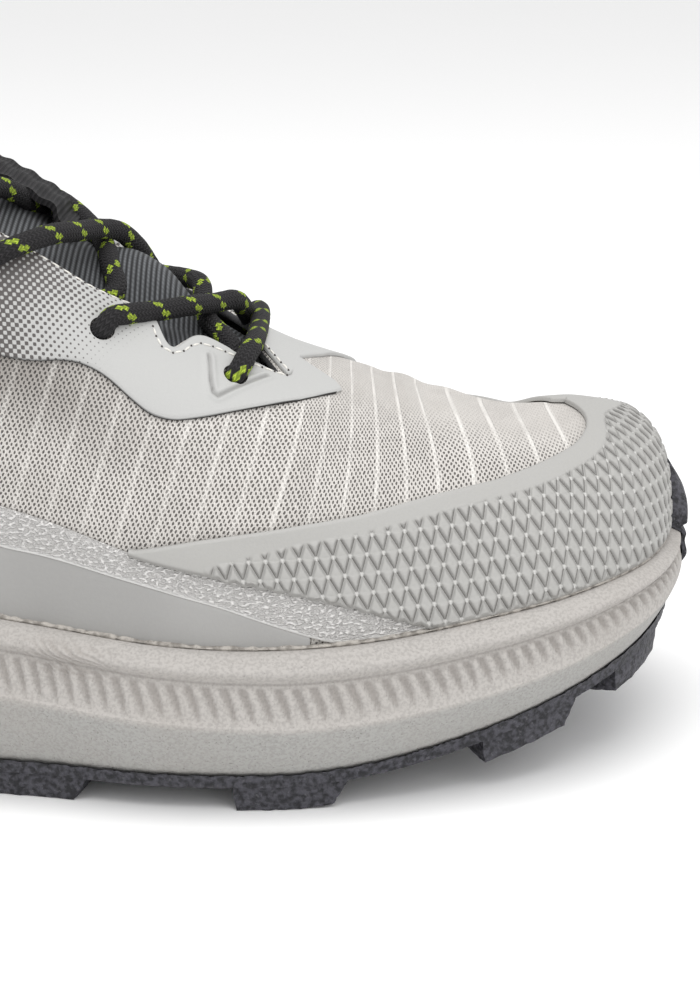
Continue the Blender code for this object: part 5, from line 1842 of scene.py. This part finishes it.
def make_stage(colours):
    """Pale floor, soft light all round with a broad one above, and the camera."""
    bpy.ops.object.select_all(action="DESELECT")
    bpy.ops.mesh.primitive_plane_add(size=FLOOR_SIZE)
    floor = bpy.context.active_object
    floor.name = "floor"
    floor.data.materials.append(floor_material(colours))
    world = bpy.data.worlds.new("studio")
    world.use_nodes = True
    sky = world.node_tree.nodes["Background"]
    sky.inputs["Color"].default_value = (1.0, 1.0, 1.0, 1.0)
    sky.inputs["Strength"].default_value = SKY_STRENGTH
    bpy.context.scene.world = world
    bpy.context.scene.view_settings.view_transform = "Standard"
    for name, at, target, size, power in LAMPS:
        light = bpy.data.lights.new(name, "AREA")
        light.energy = power
        light.size = size
        lamp = bpy.data.objects.new(name, light)
        lamp.location = at
        lamp.rotation_euler = (Vector(target) - Vector(at)).to_track_quat("-Z", "Y").to_euler()
        bpy.context.scene.collection.objects.link(lamp)
    camera = bpy.data.objects.new("camera", bpy.data.cameras.new("camera"))
    camera.data.sensor_width = CAMERA_SENSOR
    camera.data.lens = CAMERA_LENS
    camera.location = Vector((np.array(CAMERA_PLACE) + ORIGIN) * MM)
    camera.rotation_euler = (math.radians(CAMERA_TILT), 0.0, 0.0)
    bpy.context.scene.collection.objects.link(camera)
    bpy.context.scene.camera = camera


# Operators

class SHOE_OT_stage(bpy.types.Operator):
    """Add the floor, the light and the camera"""
    bl_idname = "shoe.stage"
    bl_label = "Stage"

    def execute(self, context):
        make_stage(context.scene.shoe_colours)
        return {"FINISHED"}


class SHOE_OT_lace(bpy.types.Operator):
    """Run the lace through the eyelets"""
    bl_idname = "shoe.lace"
    bl_label = "Lace"

    def execute(self, context):
        make_lace(context.scene.shoe_sizes, context.scene.shoe_colours)
        return {"FINISHED"}


class SHOE_OT_sole(bpy.types.Operator):
    """Build midsole, glue line and outsole with its lugs and toe guard"""
    bl_idname = "shoe.sole"
    bl_label = "Sole"

    def execute(self, context):
        make_midsole(context.scene.shoe_sizes, context.scene.shoe_colours)
        make_glue_line()
        make_outsole(context.scene.shoe_colours)
        return {"FINISHED"}


class SHOE_OT_upper(bpy.types.Operator):
    """Build the knitted upper with its lined collar"""
    bl_idname = "shoe.upper"
    bl_label = "Upper"

    def execute(self, context):
        make_upper(context.scene.shoe_sizes, context.scene.shoe_colours)
        return {"FINISHED"}


class SHOE_OT_overlays(bpy.types.Operator):
    """Build toe cap, side band and rand"""
    bl_idname = "shoe.overlays"
    bl_label = "Overlays"

    def execute(self, context):
        make_toe_cap(context.scene.shoe_sizes, context.scene.shoe_colours)
        make_side_band(context.scene.shoe_colours)
        make_rand(context.scene.shoe_colours)
        return {"FINISHED"}


class SHOE_OT_eyestay(bpy.types.Operator):
    """Build the eyestay with its lace holes and seams"""
    bl_idname = "shoe.eyestay"
    bl_label = "Eyestay"

    def execute(self, context):
        make_eyestay(context.scene.shoe_sizes, context.scene.shoe_colours)
        make_stitches(context.scene.shoe_sizes)
        return {"FINISHED"}


class SHOE_OT_inside(bpy.types.Operator):
    """Build tongue, lace keeper and insole"""
    bl_idname = "shoe.inside"
    bl_label = "Tongue and insole"

    def execute(self, context):
        make_tongue(context.scene.shoe_colours)
        make_insole(context.scene.shoe_colours)
        return {"FINISHED"}


class SHOE_PT_panel(bpy.types.Panel):
    """Sidebar panel with the shoe's pieces"""
    bl_idname = "SHOE_PT_panel"
    bl_label = "Trail Running Shoe"
    bl_space_type = "VIEW_3D"
    bl_region_type = "UI"
    bl_category = "Shoe"

    def draw(self, context):
        for operator in OPERATORS:
            self.layout.operator(operator.bl_idname)
        for group in (context.scene.shoe_sizes, context.scene.shoe_colours):
            for name in group.__annotations__:
                self.layout.prop(group, name)


OPERATORS = (SHOE_OT_stage, SHOE_OT_lace, SHOE_OT_sole, SHOE_OT_upper, SHOE_OT_overlays, SHOE_OT_eyestay,
             SHOE_OT_inside)
CLASSES = (ShoeSizes, ShoeColours, *OPERATORS, SHOE_PT_panel)


def register():
    for each in CLASSES:
        bpy.utils.register_class(each)
    bpy.types.Scene.shoe_sizes = bpy.props.PointerProperty(type=ShoeSizes)
    bpy.types.Scene.shoe_colours = bpy.props.PointerProperty(type=ShoeColours)


def unregister():
    del bpy.types.Scene.shoe_colours
    del bpy.types.Scene.shoe_sizes
    for each in reversed(CLASSES):
        bpy.utils.unregister_class(each)


def main():
    """Builds the stage and the shoe."""
    register()
    bpy.ops.shoe.stage()
    bpy.ops.shoe.lace()
    bpy.ops.shoe.sole()
    bpy.ops.shoe.upper()
    bpy.ops.shoe.overlays()
    bpy.ops.shoe.eyestay()
    bpy.ops.shoe.inside()


if __name__ == "__main__":
    main()
